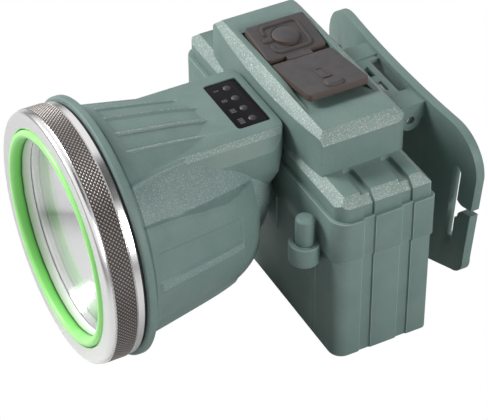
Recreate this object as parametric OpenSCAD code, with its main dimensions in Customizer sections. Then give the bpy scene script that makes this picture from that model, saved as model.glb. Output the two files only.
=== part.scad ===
// Miner's cap lamp: a knurled lamp head on a battery block, worn on a tilting forehead bracket.
// The lamp shines along -Y, +Z is up, X runs across the forehead. The origin is on the ground,
// under the middle of the whole lamp. The lamp axis is horizontal.

/* [Bezel and lens] */
// Diameter over the knurled band of the bezel
knurl_d = 70; // [60:0.5:80]
// How far the smooth rings of the bezel lie below the knurled band
knurl_proud = 0.35; // [0.2:0.05:0.6]
// Length of the bezel along the lamp axis
bezel_len = 9.9; // [9.5:0.1:12]
// Distance from the bezel's front face to the knurled band
knurl_setback = 1.9; // [1.5:0.1:2.5]
// Length of the knurled band
knurl_len = 5.6; // [4.5:0.1:6]
// Width of the bezel's front face, from its opening to the knurled band
bezel_face = 5; // [4.5:0.1:6.5]
// Thickness of the bezel's front lip
bezel_lip = 2.4; // [1.8:0.1:2.8]
// How far the glow ring stands out of the bezel
glow_proud = 0.6; // [0.3:0.1:1.2]
// Wall of the glow ring's sleeve
glow_wall = 1.4; // [1:0.1:2]
// Thickness of the glow ring's trapped flange
glow_flange = 2.7; // [2:0.1:3.2]
// Thickness of the clear lens
lens_t = 2.5; // [2:0.1:3]
// Thickness of the flat seal between bezel and head
seal_t = 0.6; // [0.4:0.1:1]

/* [Lamp head] */
// How far the flange behind the bezel stands out beyond it; the lamp stands on the flange's lower edge
flange_proud = 0.7; // [0.6:0.1:3]
// Thickness of that flange
flange_t = 2.4; // [2:0.1:4]
// Step from the flange's edge down to the barrel
barrel_step = 3.7; // [2.7:0.1:4.2]
// How much narrower the barrel is at its rear edge, in diameter
barrel_narrowing = 19.6; // [14:0.2:22]
// Length of the barrel
barrel_len = 36.2; // [34:0.1:42]
// Wall of the barrel
shell_wall = 2.2; // [1.8:0.1:2.6]
// Width of the flat on top of the neck
neck_w = 28; // [26:0.5:32]
// Bevel along the neck's top edges
neck_bevel = 1.5; // [1:0.1:2]
// Height of the neck's flat above the lamp axis
neck_rise = 25.5; // [24.5:0.1:26]
// Diameter of the tube that joins the barrel to the block
tube_d = 19; // [18:0.5:22]
// Free length of that tube
tube_len = 10.5; // [10:0.1:14]
// Length of the grip ridges on the barrel
ridge_len = 23; // [16:0.5:26]
// Radius of a grip ridge
ridge_r = 1.2; // [0.8:0.1:1.4]
// Angle between neighbouring grip ridges
ridge_step = 12; // [9:1:13]
// Depth of the reflector
reflector_depth = 17.8; // [16:0.1:19]

/* [Battery block] */
// Room beyond each end of the cells for the contacts, the screw pillars and the wall
end_room = 11.2; // [10.2:0.1:15]
// Depth of the block, front to back
block_d = 28.2; // [27.6:0.2:34]
// Radius of the block's upright corners in front
corner_r = 4; // [3:0.5:6]
// Radius of the block's upright corners behind
back_corner_r = 1; // [0.6:0.1:2]
// How far the lower case's top edge lies below the lamp axis
case_drop = 0.2; // [0:0.1:1]
// Height of the band above the case
band_h = 12.9; // [11:0.1:16]
// How far the band stands out from the case
band_proud = 0.6; // [0.3:0.1:1]
// Height of the cap above the band
cap_h = 6.6; // [6:0.1:8]
// How far the cap's walls lie inside the case walls
cap_inset = 0.5; // [0.2:0.1:1]
// Bevel round the cap's top
cap_bevel = 2.5; // [1.5:0.1:3]
// Wall of the block's mouldings
wall = 2; // [1.6:0.1:2.4]
// Width of the sunk channels over the block's ends
channel_w = 3.2; // [2:0.1:4]
// Depth of those channels
channel_depth = 0.7; // [0.3:0.1:1]
// Distance from the block's front to the first channel
channel_start = 7.5; // [6:0.1:8]
// Distance between the two channels
channel_pitch = 11.3; // [9:0.1:12]
// Height of the screw heads that the block stands on
foot_h = 1.5; // [1:0.1:2]
// Diameter of a battery cell
cell_d = 18.4; // [18:0.1:18.6]
// Length of a battery cell
cell_len = 65.2; // [64:0.2:66]

/* [Hump] */
// Width of the hump on the cap
hump_w = 61.5; // [58:0.5:66]
// Height of the hump above the cap
hump_h = 12.2; // [11.6:0.1:14]
// Bevel round the hump's top
hump_bevel = 2.9; // [2:0.1:3.2]
// How far the hump's front bows out in the middle
hump_bow = 1.5; // [0.5:0.1:2]
// Gap between the neck and the hump
neck_gap = 0.5; // [0.3:0.1:1]
// Depth of the recess round the rubber cover
recess_depth = 2.3; // [2:0.1:2.6]
// Length of the switch pad across the lamp
pad_len = 13.9; // [13:0.1:15]
// Length of the charging flap across the lamp
flap_len = 20.4; // [17:0.1:21]
// Width of the rubber cover, front to back
cover_w = 17.9; // [16:0.1:18.4]
// Thickness of the rubber cover
cover_t = 1.8; // [1.5:0.1:2]
// Angle at which each half of the cover rises outwards
cover_rise = 9; // [6:0.5:10]
// Diameter of the switch button
button_d = 7.6; // [6:0.1:8.4]
// Travel of the switch button
button_travel = 0.8; // [0.4:0.1:1]

/* [Lock post] */
// Diameter of the post
post_d = 5.1; // [4:0.1:6]
// Length of the post
post_len = 13.5; // [11:0.1:15]
// Height of the ring that holds it
ring_h = 6; // [5:0.1:7]
// Wall of that ring
ring_wall = 1.6; // [1.2:0.1:2]
// Distance of the post from the block's end
post_inset = 10.6; // [9.6:0.1:14]

/* [Bracket] */
// Gap between the block's back and the forehead plate
bracket_gap = 13.9; // [13.5:0.1:18]
// Thickness of the forehead plate
plate_t = 2.5; // [2:0.1:3.5]
// Width of the forehead plate over its wings
plate_w = 79; // [76:0.5:84]
// How far the plate's ends curve back behind its middle
plate_sag = 2.1; // [1.5:0.1:4]
// Radius of the wings' upper corners
wing_r = 12; // [8:0.5:14]
// Height of each side strap slot
strap_slot_h = 27.5; // [24:0.5:30]
// Width of the strap slots
strap_slot_w = 3.2; // [2.6:0.1:3.6]
// Length of the top strap slot
top_slot_len = 16; // [12:0.5:17]
// Width of the shelf above the hinge
shelf_w = 31; // [30:0.5:36]
// Thickness of the shelf
shelf_t = 1.6; // [1.4:0.1:2.2]
// Distance of the tilt axis from the block's back
hinge_out = 10; // [9.5:0.1:11]
// Diameter of the hinge pin
pin_d = 2.5; // [2:0.1:2.8]
// Radius of the hinge knuckles
knuckle_r = 3.2; // [3:0.1:3.6]

/* [Hidden] */
$fn = 96;

green = "#7F978B";
rubber_brown = "#625C59";
eps = 0.01;
seat_gap = 0.2;       // between pieces that only have to go together
run_gap = 0.08;       // radial clearance of a pin that turns in a bore
slide_gap = 0.1;      // radial clearance of a post that slides in a bore

// Lamp head
bezel_bore_d = knurl_d - 2 * bezel_face;
flange_d = knurl_d + 2 * flange_proud;
barrel_d = flange_d - 2 * barrel_step;
barrel_rear_d = barrel_d - barrel_narrowing;

// Block over the cells
block_w = cell_len + 2 * end_room;
post_x = block_w / 2 - post_inset;

// Stations along Y, from the glow ring's lip to the back of the forehead plate
total_len = glow_proud + bezel_len + seal_t + flange_t + barrel_len + tube_len + band_proud + block_d
    + bracket_gap + plate_t + plate_sag;
y_front = -total_len / 2;
y_bezel = y_front + glow_proud;
y_seal = y_bezel + bezel_len;
y_flange = y_seal + seal_t;
y_barrel = y_flange + flange_t;
y_barrel_end = y_barrel + barrel_len;
y_band = y_barrel_end + tube_len;
y_block = y_band + band_proud;
y_mid = y_block + block_d / 2;
y_back = y_block + block_d;
y_plate = y_back + bracket_gap;
y_hinge = y_back + hinge_out;

// Heights
axis_z = flange_d / 2;
z_case = foot_h;
z_band = axis_z - case_drop;
case_h = z_band - z_case;
z_cap = z_band + band_h;
z_cap_top = z_cap + cap_h;
z_hump_top = z_cap_top + hump_h;
z_floor = z_hump_top - recess_depth;
floor_t = 2.3;        // moulding under the recess
z_ceiling = z_floor - floor_t;
z_neck = axis_z + neck_rise;
z_hinge = z_cap + 1.3;

// Bezel and lens stack, measured from y_front along the lamp axis
smooth_r = knurl_d / 2 - knurl_proud;
s_bezel = glow_proud;
s_lip = s_bezel + bezel_lip;
s_lens = s_lip + glow_flange;
s_rim = s_lens + lens_t;
s_bezel_end = s_bezel + bezel_len;
s_flange = s_bezel_end + seal_t;
s_barrel = s_flange + flange_t;
s_barrel_end = s_barrel + barrel_len;
glow_r = bezel_bore_d / 2 - 0.3;
spigot_r = barrel_d / 2 - 0.3;
spigot_bore = spigot_r - 2.3;
cavity_r = spigot_r + 0.1;
lens_r = spigot_bore - seat_gap;

// Reflector, light source and heat sink
reflector_wall = 1.2;
reflector_throat = 5;
reflector_mouth = lens_r - reflector_wall;
s_board = s_rim + reflector_depth;
board_r = 10;
board_t = 1.6;
led_base = 6.8;       // side of the light source's square base
led_base_t = 1;
led_dome_r = 2.6;
sink_t = 4;
sink_hole_r = 1.6;    // lead holes in the heat sink
sink_hole_x = 14;
s_sink = s_board + board_t;
s_ledge = s_sink + sink_t;

// Barrel outline: a straight taper that turns in towards the rear edge
taper = 6 / 9 * (barrel_d - barrel_rear_d) / 2;
turn_in = (barrel_d - barrel_rear_d) / 2 - taper;
function barrel_r(s) = let(t = (s - s_barrel) / barrel_len) barrel_d / 2 - taper * t - turn_in * pow(t, 8);
barrel_steps = 12;
dome_r = barrel_rear_d / 2 + 0.3;    // ball behind the barrel's rear edge, centred inside the barrel
dome_setback = 10.2;
dome_lift = 3;        // above the lamp axis
sink_r = barrel_r(s_ledge) - shell_wall - 0.4;

// Hump and cover
hump_setback = [0.9, 0.2];    // hump's front and back from the block's front and back
hump_front = y_block + hump_setback[0];
hump_back = y_back - hump_setback[1];
hump_corner_r = 4;    // round the hump's upright corners behind
hump_bow_r = (pow(hump_w / 2, 2) + pow(hump_bow, 2)) / (2 * hump_bow);
y_cover = (hump_front + hump_back) / 2 + 0.5;
valley_x = -4.5;
valley_z = z_hump_top - 0.3;
pad_x = valley_x - 1;
flap_axis_x = valley_x + 1.5;
flap_axis_z = valley_z - cover_t / 2;
button_x = pad_x - pad_len / 2 * cos(cover_rise);
neck_strip_w = 7.2;
bed_gap = 0.5;        // round the cover
dish_depth = 0.9;     // of the finger dish round the flap's free end
strip_gap = 0.4;      // between the pad's strip and the flap's rolled edge
usb_x = flap_axis_x + 10;
usb_l = 9.2;
usb_w = 3.6;
stem_r = 1.7;

// Control board under the hump
z_board = z_cap_top + 0.7;
tact_h = 3.5;
tact_w = 6.2;
z_tact = z_board + board_t;
boss_r = 2.4;
boss_x = 24.5;
boss_y = 7.6;
board_screw_r = 1;
board_screw_len = 3;  // in the boss

// Indicator window in the neck
window_w = 20.8;
window_d = 9.5;
window_t = 1.6;
window_sink = 0.3;
window_margin = 2;    // flat behind the window
y_window = hump_front - neck_gap - window_margin - window_d / 2;
led_pitch = 4.87;
led_d = 2.6;
window_pin = 1.6;
neck_lean = 3.4;      // how far the neck's sides stand out beyond its flat
neck_side_r = 24;     // the sides curve back in below
neck_corner_r = 6;    // round the neck's upright rear corners
z_indicator = z_neck - window_sink - window_t - window_pin;

// Block fastenings and cells
case_screw_r = 1.25;
pillar_r = 2.6;
pillar_sink = 0.3;    // how far the screw pillars run into the walls
case_screw_x = block_w / 2 - wall - pillar_r + pillar_sink;
case_screw_y = block_d / 2 - wall - pillar_r + pillar_sink;
holder_wall = 1.2;
holder_w = cell_len + 1 + 5;
holder_d = cell_d + 0.2 + 2 * holder_wall;
contact_t = 0.5;
z_cell_lower = z_case + wall + holder_wall + cell_d / 2 + 0.1;
z_cell_upper = z_cell_lower + cell_d + 0.6;
holder_h = 2 * cell_d + 0.8 + 2 * holder_wall;

// Head screws, which pull the tube onto the block
head_screw_r = 1.4;
head_screw_ring = tube_d / 2 - 2.5;
head_screw_len = 8;
lead_hole_r = 3.5;

// Lock post and ring
z_ring = z_band - 3.9;
ring_r = post_d / 2 + slide_gap + ring_wall;
y_post = y_band - ring_r + 0.9;

// Bracket
z_shelf = z_hinge + knuckle_r + 0.3;
z_plate_top = z_shelf + shelf_t + 0.9;
z_plate_low = z_case + 0.9;
y_shelf = y_hinge - knuckle_r - 0.4;
cheek_t = 2.1;
cheek_x = shelf_w / 2 - cheek_t;
washer_t = 0.6;
plate_r = (pow(plate_w / 2, 2) + pow(plate_sag, 2)) / (2 * plate_sag);
land_w = 24;          // flat land in the middle of the plate's back
land_t = 0.3;
knuckle_out = cheek_x - washer_t - 0.2;
knuckle_in = top_slot_len / 2 + 1.3;
web_t = 1.8;
slot_top = z_plate_top - 12.3;
slot_lean = 5;
slot_x = plate_w / 2 - 7.9;
arm_rise = 9.4;       // height of the wings' lower corners above the plate's lowest edge
arm_slope_w = 21;     // width of the sloping stretch between them
hook_r = 5.5;

// A solid of revolution about the lamp axis: [radius, distance behind y_front]
module spun(points) {
    translate([0, y_front, axis_z])
        rotate([-90, 0, 0])
            rotate_extrude() polygon(points);
}

// A rod along +Y that starts at the given point
module rod_y(at, r, length) {
    translate(at) rotate([-90, 0, 0]) cylinder(r = r, h = length);
}

// A rod along X from x0 to x1, at the given Y and Z
module rod_x(x0, x1, y, z, r) {
    translate([x0, y, z]) rotate([0, 90, 0]) cylinder(r = r, h = x1 - x0);
}

// A box given by its low and high corners
module box(low, high) {
    translate(low) cube(high - low);
}

// A rectangle with true round corners
module round_rect(w, d, r) {
    square([w - 2 * r, d], center = true);
    square([w, d - 2 * r], center = true);
    for (x = [-1, 1], y = [-1, 1])
        translate([x * (w / 2 - r), y * (d / 2 - r)]) circle(r);
}

// Plan of the battery block, standing out by grow: round corners in front, nearly sharp ones behind
module block_plan(grow) {
    w = block_w + 2 * grow;
    d = block_d + 2 * grow;
    r = max(corner_r + grow, 0.5);
    b = max(back_corner_r + grow, 0.5);
    square([w - 2 * r, d], center = true);
    translate([-w / 2, r - d / 2]) square([w, d - r - b]);
    translate([b - w / 2, 0]) square([w - 2 * b, d / 2]);
    for (x = [-1, 1]) {
        translate([x * (w / 2 - r), r - d / 2]) circle(r);
        translate([x * (w / 2 - b), d / 2 - b]) circle(b);
    }
}

// An upright slab with the block's plan
module block_slab(z0, z1, grow) {
    translate([0, y_mid, z0]) linear_extrude(z1 - z0) block_plan(grow);
}

// The side outline of a bevelled box, extruded across X
module bevel_along_x(w, y0, y1, z0, z1, bevel) {
    translate([-w / 2, 0, 0]) rotate([90, 0, 90])
        linear_extrude(w)
            polygon([[y0, z0], [y1, z0], [y1, z1 - bevel], [y1 - bevel, z1], [y0 + bevel, z1],
                [y0, z1 - bevel]]);
}

// The front outline of a bevelled box, extruded along Y
module bevel_along_y(w, y0, y1, z0, z1, bevel) {
    translate([0, y1, 0]) rotate([90, 0, 0])
        linear_extrude(y1 - y0)
            polygon([[-w / 2, z0], [w / 2, z0], [w / 2, z1 - bevel], [w / 2 - bevel, z1],
                [bevel - w / 2, z1], [-w / 2, z1 - bevel]]);
}

// A box bevelled on all four top edges
module bevelled_box(w, y0, y1, z0, z1, bevel) {
    intersection() {
        bevel_along_x(w, y0, y1, z0, z1, bevel);
        bevel_along_y(w, y0, y1, z0, z1, bevel);
    }
}

// The sunk channels that run down both ends of a wall that stands out by grow
module end_channels(z0, z1, grow) {
    deep = block_w / 2 + grow - channel_depth;
    for (side = [-1, 1], i = [0, 1])
        translate([side > 0 ? deep : -deep - 5, y_block + channel_start + i * channel_pitch, z0])
            cube([5, channel_w, z1 - z0]);
}

// The same channels over the cap, deeper along its top: down its ends, over the bevel and to the hump
module cap_channels() {
    w = block_w - 2 * cap_inset;
    top_depth = channel_depth + 0.6;
    for (i = [0, 1]) {
        y0 = y_block + channel_start + i * channel_pitch;
        difference() {
            box([-w, y0, z_cap - 1], [w, y0 + channel_w, z_cap_top + 1]);
            bevel_along_y(w - 2 * channel_depth, y0 - 1, y0 + channel_w + 1, z_cap - 2,
                z_cap_top - top_depth, cap_bevel - 0.293 * (channel_depth + top_depth));
            box([-hump_w / 2, y0 - 1, z_cap - 2], [hump_w / 2, y0 + channel_w + 1, z_cap_top + 2]);
        }
    }
}

// Four places round the block where the long case screws run
module at_case_screws() {
    for (x = [-1, 1], y = [-1, 1])
        translate([x * case_screw_x, y_mid + y * case_screw_y, 0]) children();
}

// Four places under the hump where the control board is screwed on
module at_board_screws() {
    for (x = [-1, 1], y = [-1, 1])
        translate([x * boss_x, y_cover + y * boss_y, 0]) children();
}

// Three places on the tube where the head screws run
module at_head_screws() {
    for (a = [30, 150, 270])
        translate([head_screw_ring * cos(a), 0, axis_z + head_screw_ring * sin(a)]) children();
}

// ---- Lamp head ----

// Turned aluminium bezel with a knurled band between two polished grooves
module bezel_ring() {
    groove = 0.5;
    s_knurl = s_bezel + knurl_setback;
    s_knurl_end = s_knurl + knurl_len;
    color("#C9CCCB")
        spun([[bezel_bore_d / 2, s_bezel + 0.4], [bezel_bore_d / 2 + 0.4, s_bezel], [smooth_r - 0.6, s_bezel],
            [smooth_r, s_bezel + 0.6], [smooth_r, s_knurl - groove], [smooth_r - 0.3, s_knurl],
            [smooth_r + knurl_proud, s_knurl + 0.3], [smooth_r + knurl_proud, s_knurl_end - 0.3],
            [smooth_r - 0.3, s_knurl_end], [smooth_r, s_knurl_end + groove], [smooth_r, s_bezel_end],
            [cavity_r, s_bezel_end], [cavity_r, s_lip], [bezel_bore_d / 2, s_lip]]);
}

// Translucent silicone ring: a sleeve with a rounded lip and a flange trapped behind the bezel's lip
module glow_ring() {
    sleeve = glow_r - glow_wall;
    color("#8FE07A")
        spun([[sleeve, glow_wall / 2], for (a = [180 : -30 : 0])
            [glow_r - glow_wall / 2 + glow_wall / 2 * cos(a), glow_wall / 2 - glow_wall / 2 * sin(a)],
            [glow_r, s_lip], [cavity_r - 0.3, s_lip], [cavity_r - 0.3, s_lens], [sleeve, s_lens]]);
}

// Clear flat lens
module lens() {
    color("#DDE6E8", 0.4)
        spun([[0, s_lens], [lens_r, s_lens], [lens_r, s_rim], [0, s_rim]]);
}

// Flat black seal between the bezel and the flange
module bezel_seal() {
    color("#17191A")
        spun([[cavity_r, s_bezel_end], [smooth_r - 0.4, s_bezel_end], [smooth_r - 0.4, s_flange],
            [cavity_r, s_flange]]);
}

// Parabolic cup: the radius grows with the square root of the depth
function cup_r(depth) = sqrt(pow(reflector_throat, 2)
    + (pow(reflector_mouth, 2) - pow(reflector_throat, 2)) * depth / reflector_depth);
module reflector() {
    steps = 14;
    color("#D8D8D4")
        spun([for (i = [0 : steps]) let(d = reflector_depth * i / steps) [cup_r(d), s_board - d],
            for (i = [steps : -1 : 0]) let(d = reflector_depth * i / steps)
                [cup_r(d) + reflector_wall, s_board - d]]);
}

// Light-emitting diode: square base with a clear dome
module lamp_led() {
    color("#E8D25A") {
        y_base = y_front + s_board - led_base_t;
        box([-led_base / 2, y_base, axis_z - led_base / 2],
            [led_base / 2, y_front + s_board, axis_z + led_base / 2]);
        intersection() {
            translate([0, y_base, axis_z]) sphere(r = led_dome_r);
            rod_y([0, y_base - led_base / 2, axis_z], led_base / 2, led_base / 2 + eps);
        }
    }
}

// Round metal-core board that carries the light source
module led_board() {
    color("#F0F0EC")
        spun([[0, s_board], [board_r, s_board], [board_r, s_sink], [0, s_sink]]);
}

// Aluminium disc that carries the board and takes its heat to the shell
module heat_sink() {
    color("#A9ADAE")
        difference() {
            spun([[0, s_sink], [sink_r, s_sink], [sink_r, s_ledge], [0, s_ledge]]);
            for (x = [-1, 1])
                rod_y([x * sink_hole_x, y_front + s_sink - 1, axis_z], sink_hole_r, sink_t + 2);
        }
}

// Solid outline of the barrel, its flange and the threaded spigot in front
module barrel_solid() {
    spun([[0, s_lens], [spigot_r, s_lens], [spigot_r, s_flange], [flange_d / 2 - 0.4, s_flange],
        [flange_d / 2, s_flange + 0.4], [flange_d / 2, s_barrel - 0.8], [flange_d / 2 - 0.8, s_barrel],
        for (i = [0 : barrel_steps]) let(s = s_barrel + barrel_len * i / barrel_steps) [barrel_r(s), s],
        [0, s_barrel_end]]);
}

// Ball behind the barrel's rear edge, cut off where the tube meets the block
module rear_dome(r) {
    intersection() {
        translate([0, y_barrel_end - dome_setback, axis_z + dome_lift]) sphere(r);
        box([-r, y_barrel_end - dome_setback, axis_z - r], [r, y_band, axis_z + dome_lift + r]);
    }
}

// Neck on top of the barrel: flat top with bevelled edges, sides that curve in below and behind
module neck_solid() {
    y0 = y_barrel + 14;
    y1 = hump_front - neck_gap;
    half = neck_w / 2;
    wide = half + neck_lean;
    z_wide = z_neck - 6.5;
    intersection() {
        linear_extrude(z_neck + 1) {
            translate([-wide, y0]) square([2 * wide, y1 - neck_corner_r - y0]);
            translate([neck_corner_r - wide, y0]) square([2 * (wide - neck_corner_r), y1 - y0]);
            for (x = [-1, 1])
                translate([x * (wide - neck_corner_r), y1 - neck_corner_r]) circle(neck_corner_r);
        }
        translate([-wide - 1, 0, 0]) rotate([90, 0, 90])
            linear_extrude(2 * wide + 2)
                polygon([[y0, z_neck], [y1, z_neck], [y1, z_neck - 4], [y_barrel_end + 7, axis_z + 9],
                    [y_barrel_end - 1, axis_z], [y0, axis_z]]);
        translate([0, y1 + 1, 0]) rotate([90, 0, 0])
            linear_extrude(y1 - y0 + 2)
                polygon([for (a = [-45 : 5 : 0])
                        [wide - neck_side_r * (1 - cos(a)), z_wide + neck_side_r * sin(a)],
                    [wide, z_neck - 5], [half + neck_bevel, z_neck - neck_bevel], [half, z_neck],
                    [-half, z_neck], [-half - neck_bevel, z_neck - neck_bevel], [-wide, z_neck - 5],
                    for (a = [0 : -5 : -45])
                        [neck_side_r * (1 - cos(a)) - wide, z_wide + neck_side_r * sin(a)]]);
    }
}

// Four long grip ridges over the top of the barrel
module grip_ridges() {
    s0 = s_barrel + 4.9;
    s1 = s0 + ridge_len;
    sink = 0.4;
    lean = atan((barrel_r(s0) - barrel_r(s1)) / ridge_len);
    for (i = [0 : 3])
        translate([0, 0, axis_z]) rotate([0, (i - 1.5) * ridge_step, 0])
            translate([0, y_front + s0, barrel_r(s0) - sink]) rotate([-90 - lean, 0, 0]) {
                cylinder(r = ridge_r, h = ridge_len / cos(lean));
                sphere(ridge_r);
                translate([0, 0, ridge_len / cos(lean)]) sphere(ridge_r);
            }
}

// Moulded head: barrel, neck and rear tube, hollow for the light source
module head_shell() {
    end_wall = 2.4;
    s_end = s_barrel_end - end_wall;
    ledge_r = sink_r - 2.5;
    color(green)
        difference() {
            union() {
                barrel_solid();
                rear_dome(dome_r);
                neck_solid();
                grip_ridges();
                rod_y([0, y_barrel_end - 1, axis_z], tube_d / 2, tube_len + 1);
            }
            spun([[0, s_lens - 1], [spigot_bore, s_lens - 1], [spigot_bore, s_barrel],
                for (i = [1 : 5]) let(s = s_barrel + (s_ledge - s_barrel) * i / 5)
                    [barrel_r(s) - shell_wall, s],
                [ledge_r, s_ledge], [ledge_r, s_ledge + 1.5],
                for (i = [0 : 3]) let(s = s_ledge + 1.5 + (s_end - s_ledge - 1.5) * i / 3)
                    [min(barrel_r(s) - shell_wall, ledge_r + 1.5 * i), s], [0, s_end]]);
            // Bore through the rear tube for the leads
            rod_y([0, y_barrel_end - end_wall - 1, axis_z], tube_d / 2 - 5, tube_len + end_wall + 2);
            at_head_screws()
                rod_y([0, y_band - head_screw_len + 1, 0], head_screw_r, head_screw_len);
            // Room under the window for the indicator board
            box([-window_w / 2 - 0.8, y_window - window_d / 2 - 0.8, z_indicator - board_t],
                [window_w / 2 + 0.8, y_window + window_d / 2 + 0.6, z_neck - window_sink - window_t]);
            rod_y([0, y_barrel_end - end_wall - 2, z_indicator - board_t + 1.2], 1.2, end_wall + 4);
            box([-window_w / 2 - seat_gap / 2, y_window - window_d / 2 - seat_gap / 2, z_neck - 3],
                [window_w / 2 + seat_gap / 2, y_window + window_d / 2 + seat_gap / 2, z_neck + 1]);
        }
}

// ---- Indicator ----

// Smoked window let into the neck, on pins that stand on the indicator board
module indicator_window() {
    z0 = z_neck - window_sink - window_t;
    color("#2B282C", 0.85) {
        translate([0, y_window, z0])
            linear_extrude(window_t) round_rect(window_w, window_d, 1);
        for (x = [-1, 1])
            translate([x * (window_w / 2 - 1), y_window - 3, z_indicator])
                cylinder(r = 0.7, h = window_pin + eps);
    }
}

// Four round diodes in a row
module indicator_leds() {
    color("#8C8890")
        for (i = [-1.5 : 1.5])
            translate([i * led_pitch, y_window + 0.9, z_indicator]) cylinder(d = led_d, h = window_pin - 0.1);
}

// Small board under the window
module indicator_board() {
    color("#2F5A3A")
        box([-window_w / 2 - 0.6, y_window - window_d / 2 - 0.6, z_indicator - board_t],
            [window_w / 2 + 0.6, y_window + window_d / 2 + 0.4, z_indicator]);
}

// Screws that hold the head's tube to the block, with their heads inside the block
module head_screws() {
    color("#9A9C9E")
        at_head_screws() {
            rod_y([0, y_block + wall, 0], 2.2, 1.4);
            rod_y([0, y_band - head_screw_len + 1.4, 0], head_screw_r - 0.05,
                head_screw_len - 1.4 + band_proud + wall + eps);
        }
}

// ---- Battery block ----

// Plan of the hump, whose front bows out towards the middle
module hump_plan() {
    inner = hump_w / 2 - hump_corner_r;
    intersection() {
        union() {
            translate([-hump_w / 2, hump_front]) square([hump_w, hump_back - hump_corner_r - hump_front]);
            translate([-inner, hump_front]) square([2 * inner, hump_back - hump_front]);
            for (x = [-1, 1]) translate([x * inner, hump_back - hump_corner_r]) circle(hump_corner_r);
        }
        translate([0, hump_front + hump_bow_r]) circle(hump_bow_r, $fn = 360);
    }
}

// Solid of the cap and the hump
module upper_solid() {
    intersection() {
        bevelled_box(block_w - 2 * cap_inset, y_block + cap_inset, y_back - cap_inset, z_cap, z_cap_top,
            cap_bevel);
        block_slab(z_cap, z_cap_top, -cap_inset);
    }
    intersection() {
        bevelled_box(hump_w, hump_front, hump_back, z_cap_top - 1, z_hump_top, hump_bevel);
        translate([0, 0, z_cap_top - 1]) linear_extrude(hump_h + 1) hump_plan();
    }
}

// Bed of the rubber cover, with a floor that runs out beyond the flap, and a finger dish round the flap
module cover_recess() {
    half = cover_w / 2 + bed_gap;
    x0 = pad_x - pad_len - bed_gap;
    x1 = flap_axis_x + flap_len + 3.4;
    top = z_hump_top;
    translate([0, y_cover + half, 0]) rotate([90, 0, 0])
        linear_extrude(2 * half)
            polygon([[x0, top + 1], [x0, z_floor], [x1 - 7.3, z_floor], [x1, top], [x1, top + 1]]);
    translate([0, y_cover + half + 1.6, 0]) rotate([90, 0, 0])
        linear_extrude(2 * half + 3.2)
            polygon([[x1 - 15, top + 1], [x1 - 15, top], [x1 - 9, top - dish_depth],
                [x1 - 3, top - dish_depth], [x1, top], [x1, top + 1]]);
}

// Cap and hump in one moulding, open underneath
module upper_housing() {
    color(green)
        difference() {
            union() {
                difference() {
                    upper_solid();
                    block_slab(z_cap - 1, z_cap_top - cap_bevel, -cap_inset - wall);
                    box([-hump_w / 2 + wall, hump_front + hump_bow + wall, z_cap],
                        [hump_w / 2 - wall, hump_back - wall, z_ceiling]);
                }
                // Bosses for the long screws and for the control board
                at_case_screws() translate([0, 0, z_cap]) cylinder(r = pillar_r, h = cap_h - cap_bevel + 0.5);
                at_board_screws()
                    translate([0, 0, z_tact]) cylinder(r = boss_r, h = z_ceiling - z_tact + eps);
            }
            cover_recess();
            cap_channels();
            at_case_screws()
                translate([0, 0, z_cap - 1]) cylinder(r = case_screw_r + 0.05, h = cap_h - cap_bevel);
            at_board_screws()
                translate([0, 0, z_tact - 1]) cylinder(r = board_screw_r + 0.05, h = board_screw_len + 1.5);
            // Holes for the switch stem and the charging socket
            translate([button_x, y_cover, z_ceiling - 1]) cylinder(r = stem_r + 0.4, h = 6);
            box([usb_x - usb_w / 2 - 0.3, y_cover - usb_l / 2 - 0.3, z_ceiling - 1],
                [usb_x + usb_w / 2 + 0.3, y_cover + usb_l / 2 + 0.3, z_floor + 1]);
        }
}

// Band round the middle of the block: carries the hinge knuckles and the post's ring
module band() {
    color(green)
        difference() {
            union() {
                difference() {
                    block_slab(z_band, z_cap, band_proud);
                    block_slab(z_band - 1, z_cap + 1, -wall);
                }
                at_case_screws() translate([0, 0, z_band]) cylinder(r = pillar_r, h = band_h);
                // Ring for the lock post
                translate([post_x, y_post, z_ring]) cylinder(r = ring_r, h = ring_h);
                // Knuckles and their webs
                for (side = [-1, 1]) {
                    rod_x(side > 0 ? knuckle_in : -knuckle_out, side > 0 ? knuckle_out : -knuckle_in,
                        y_hinge, z_hinge, knuckle_r);
                    box([side > 0 ? knuckle_in : -knuckle_out, y_back, z_hinge - knuckle_r],
                        [side > 0 ? knuckle_out : -knuckle_in, y_hinge, z_hinge - knuckle_r + web_t]);
                }
            }
            end_channels(z_band - 1, z_cap + 1, band_proud);
            at_case_screws() translate([0, 0, z_band - 1]) cylinder(r = case_screw_r + 0.05, h = band_h + 2);
            rod_x(-shelf_w, shelf_w, y_hinge, z_hinge, pin_d / 2 + run_gap);
            // Bore for the post, and clearance where the ring hangs in front of the case
            translate([post_x, y_post, z_ring - 1]) cylinder(d = post_d + 2 * slide_gap, h = ring_h + 2);
            box([post_x - 8, y_block - 0.3, z_ring - 1], [post_x + 8, y_block + 6, z_band]);
            // Hole for the leads and for the upper head screws
            rod_y([0, y_band - 1, z_band + lead_hole_r + 1], lead_hole_r, wall + band_proud + 2);
            at_head_screws() rod_y([0, y_band - 1, 0], head_screw_r, wall + band_proud + 2);
        }
}

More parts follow.
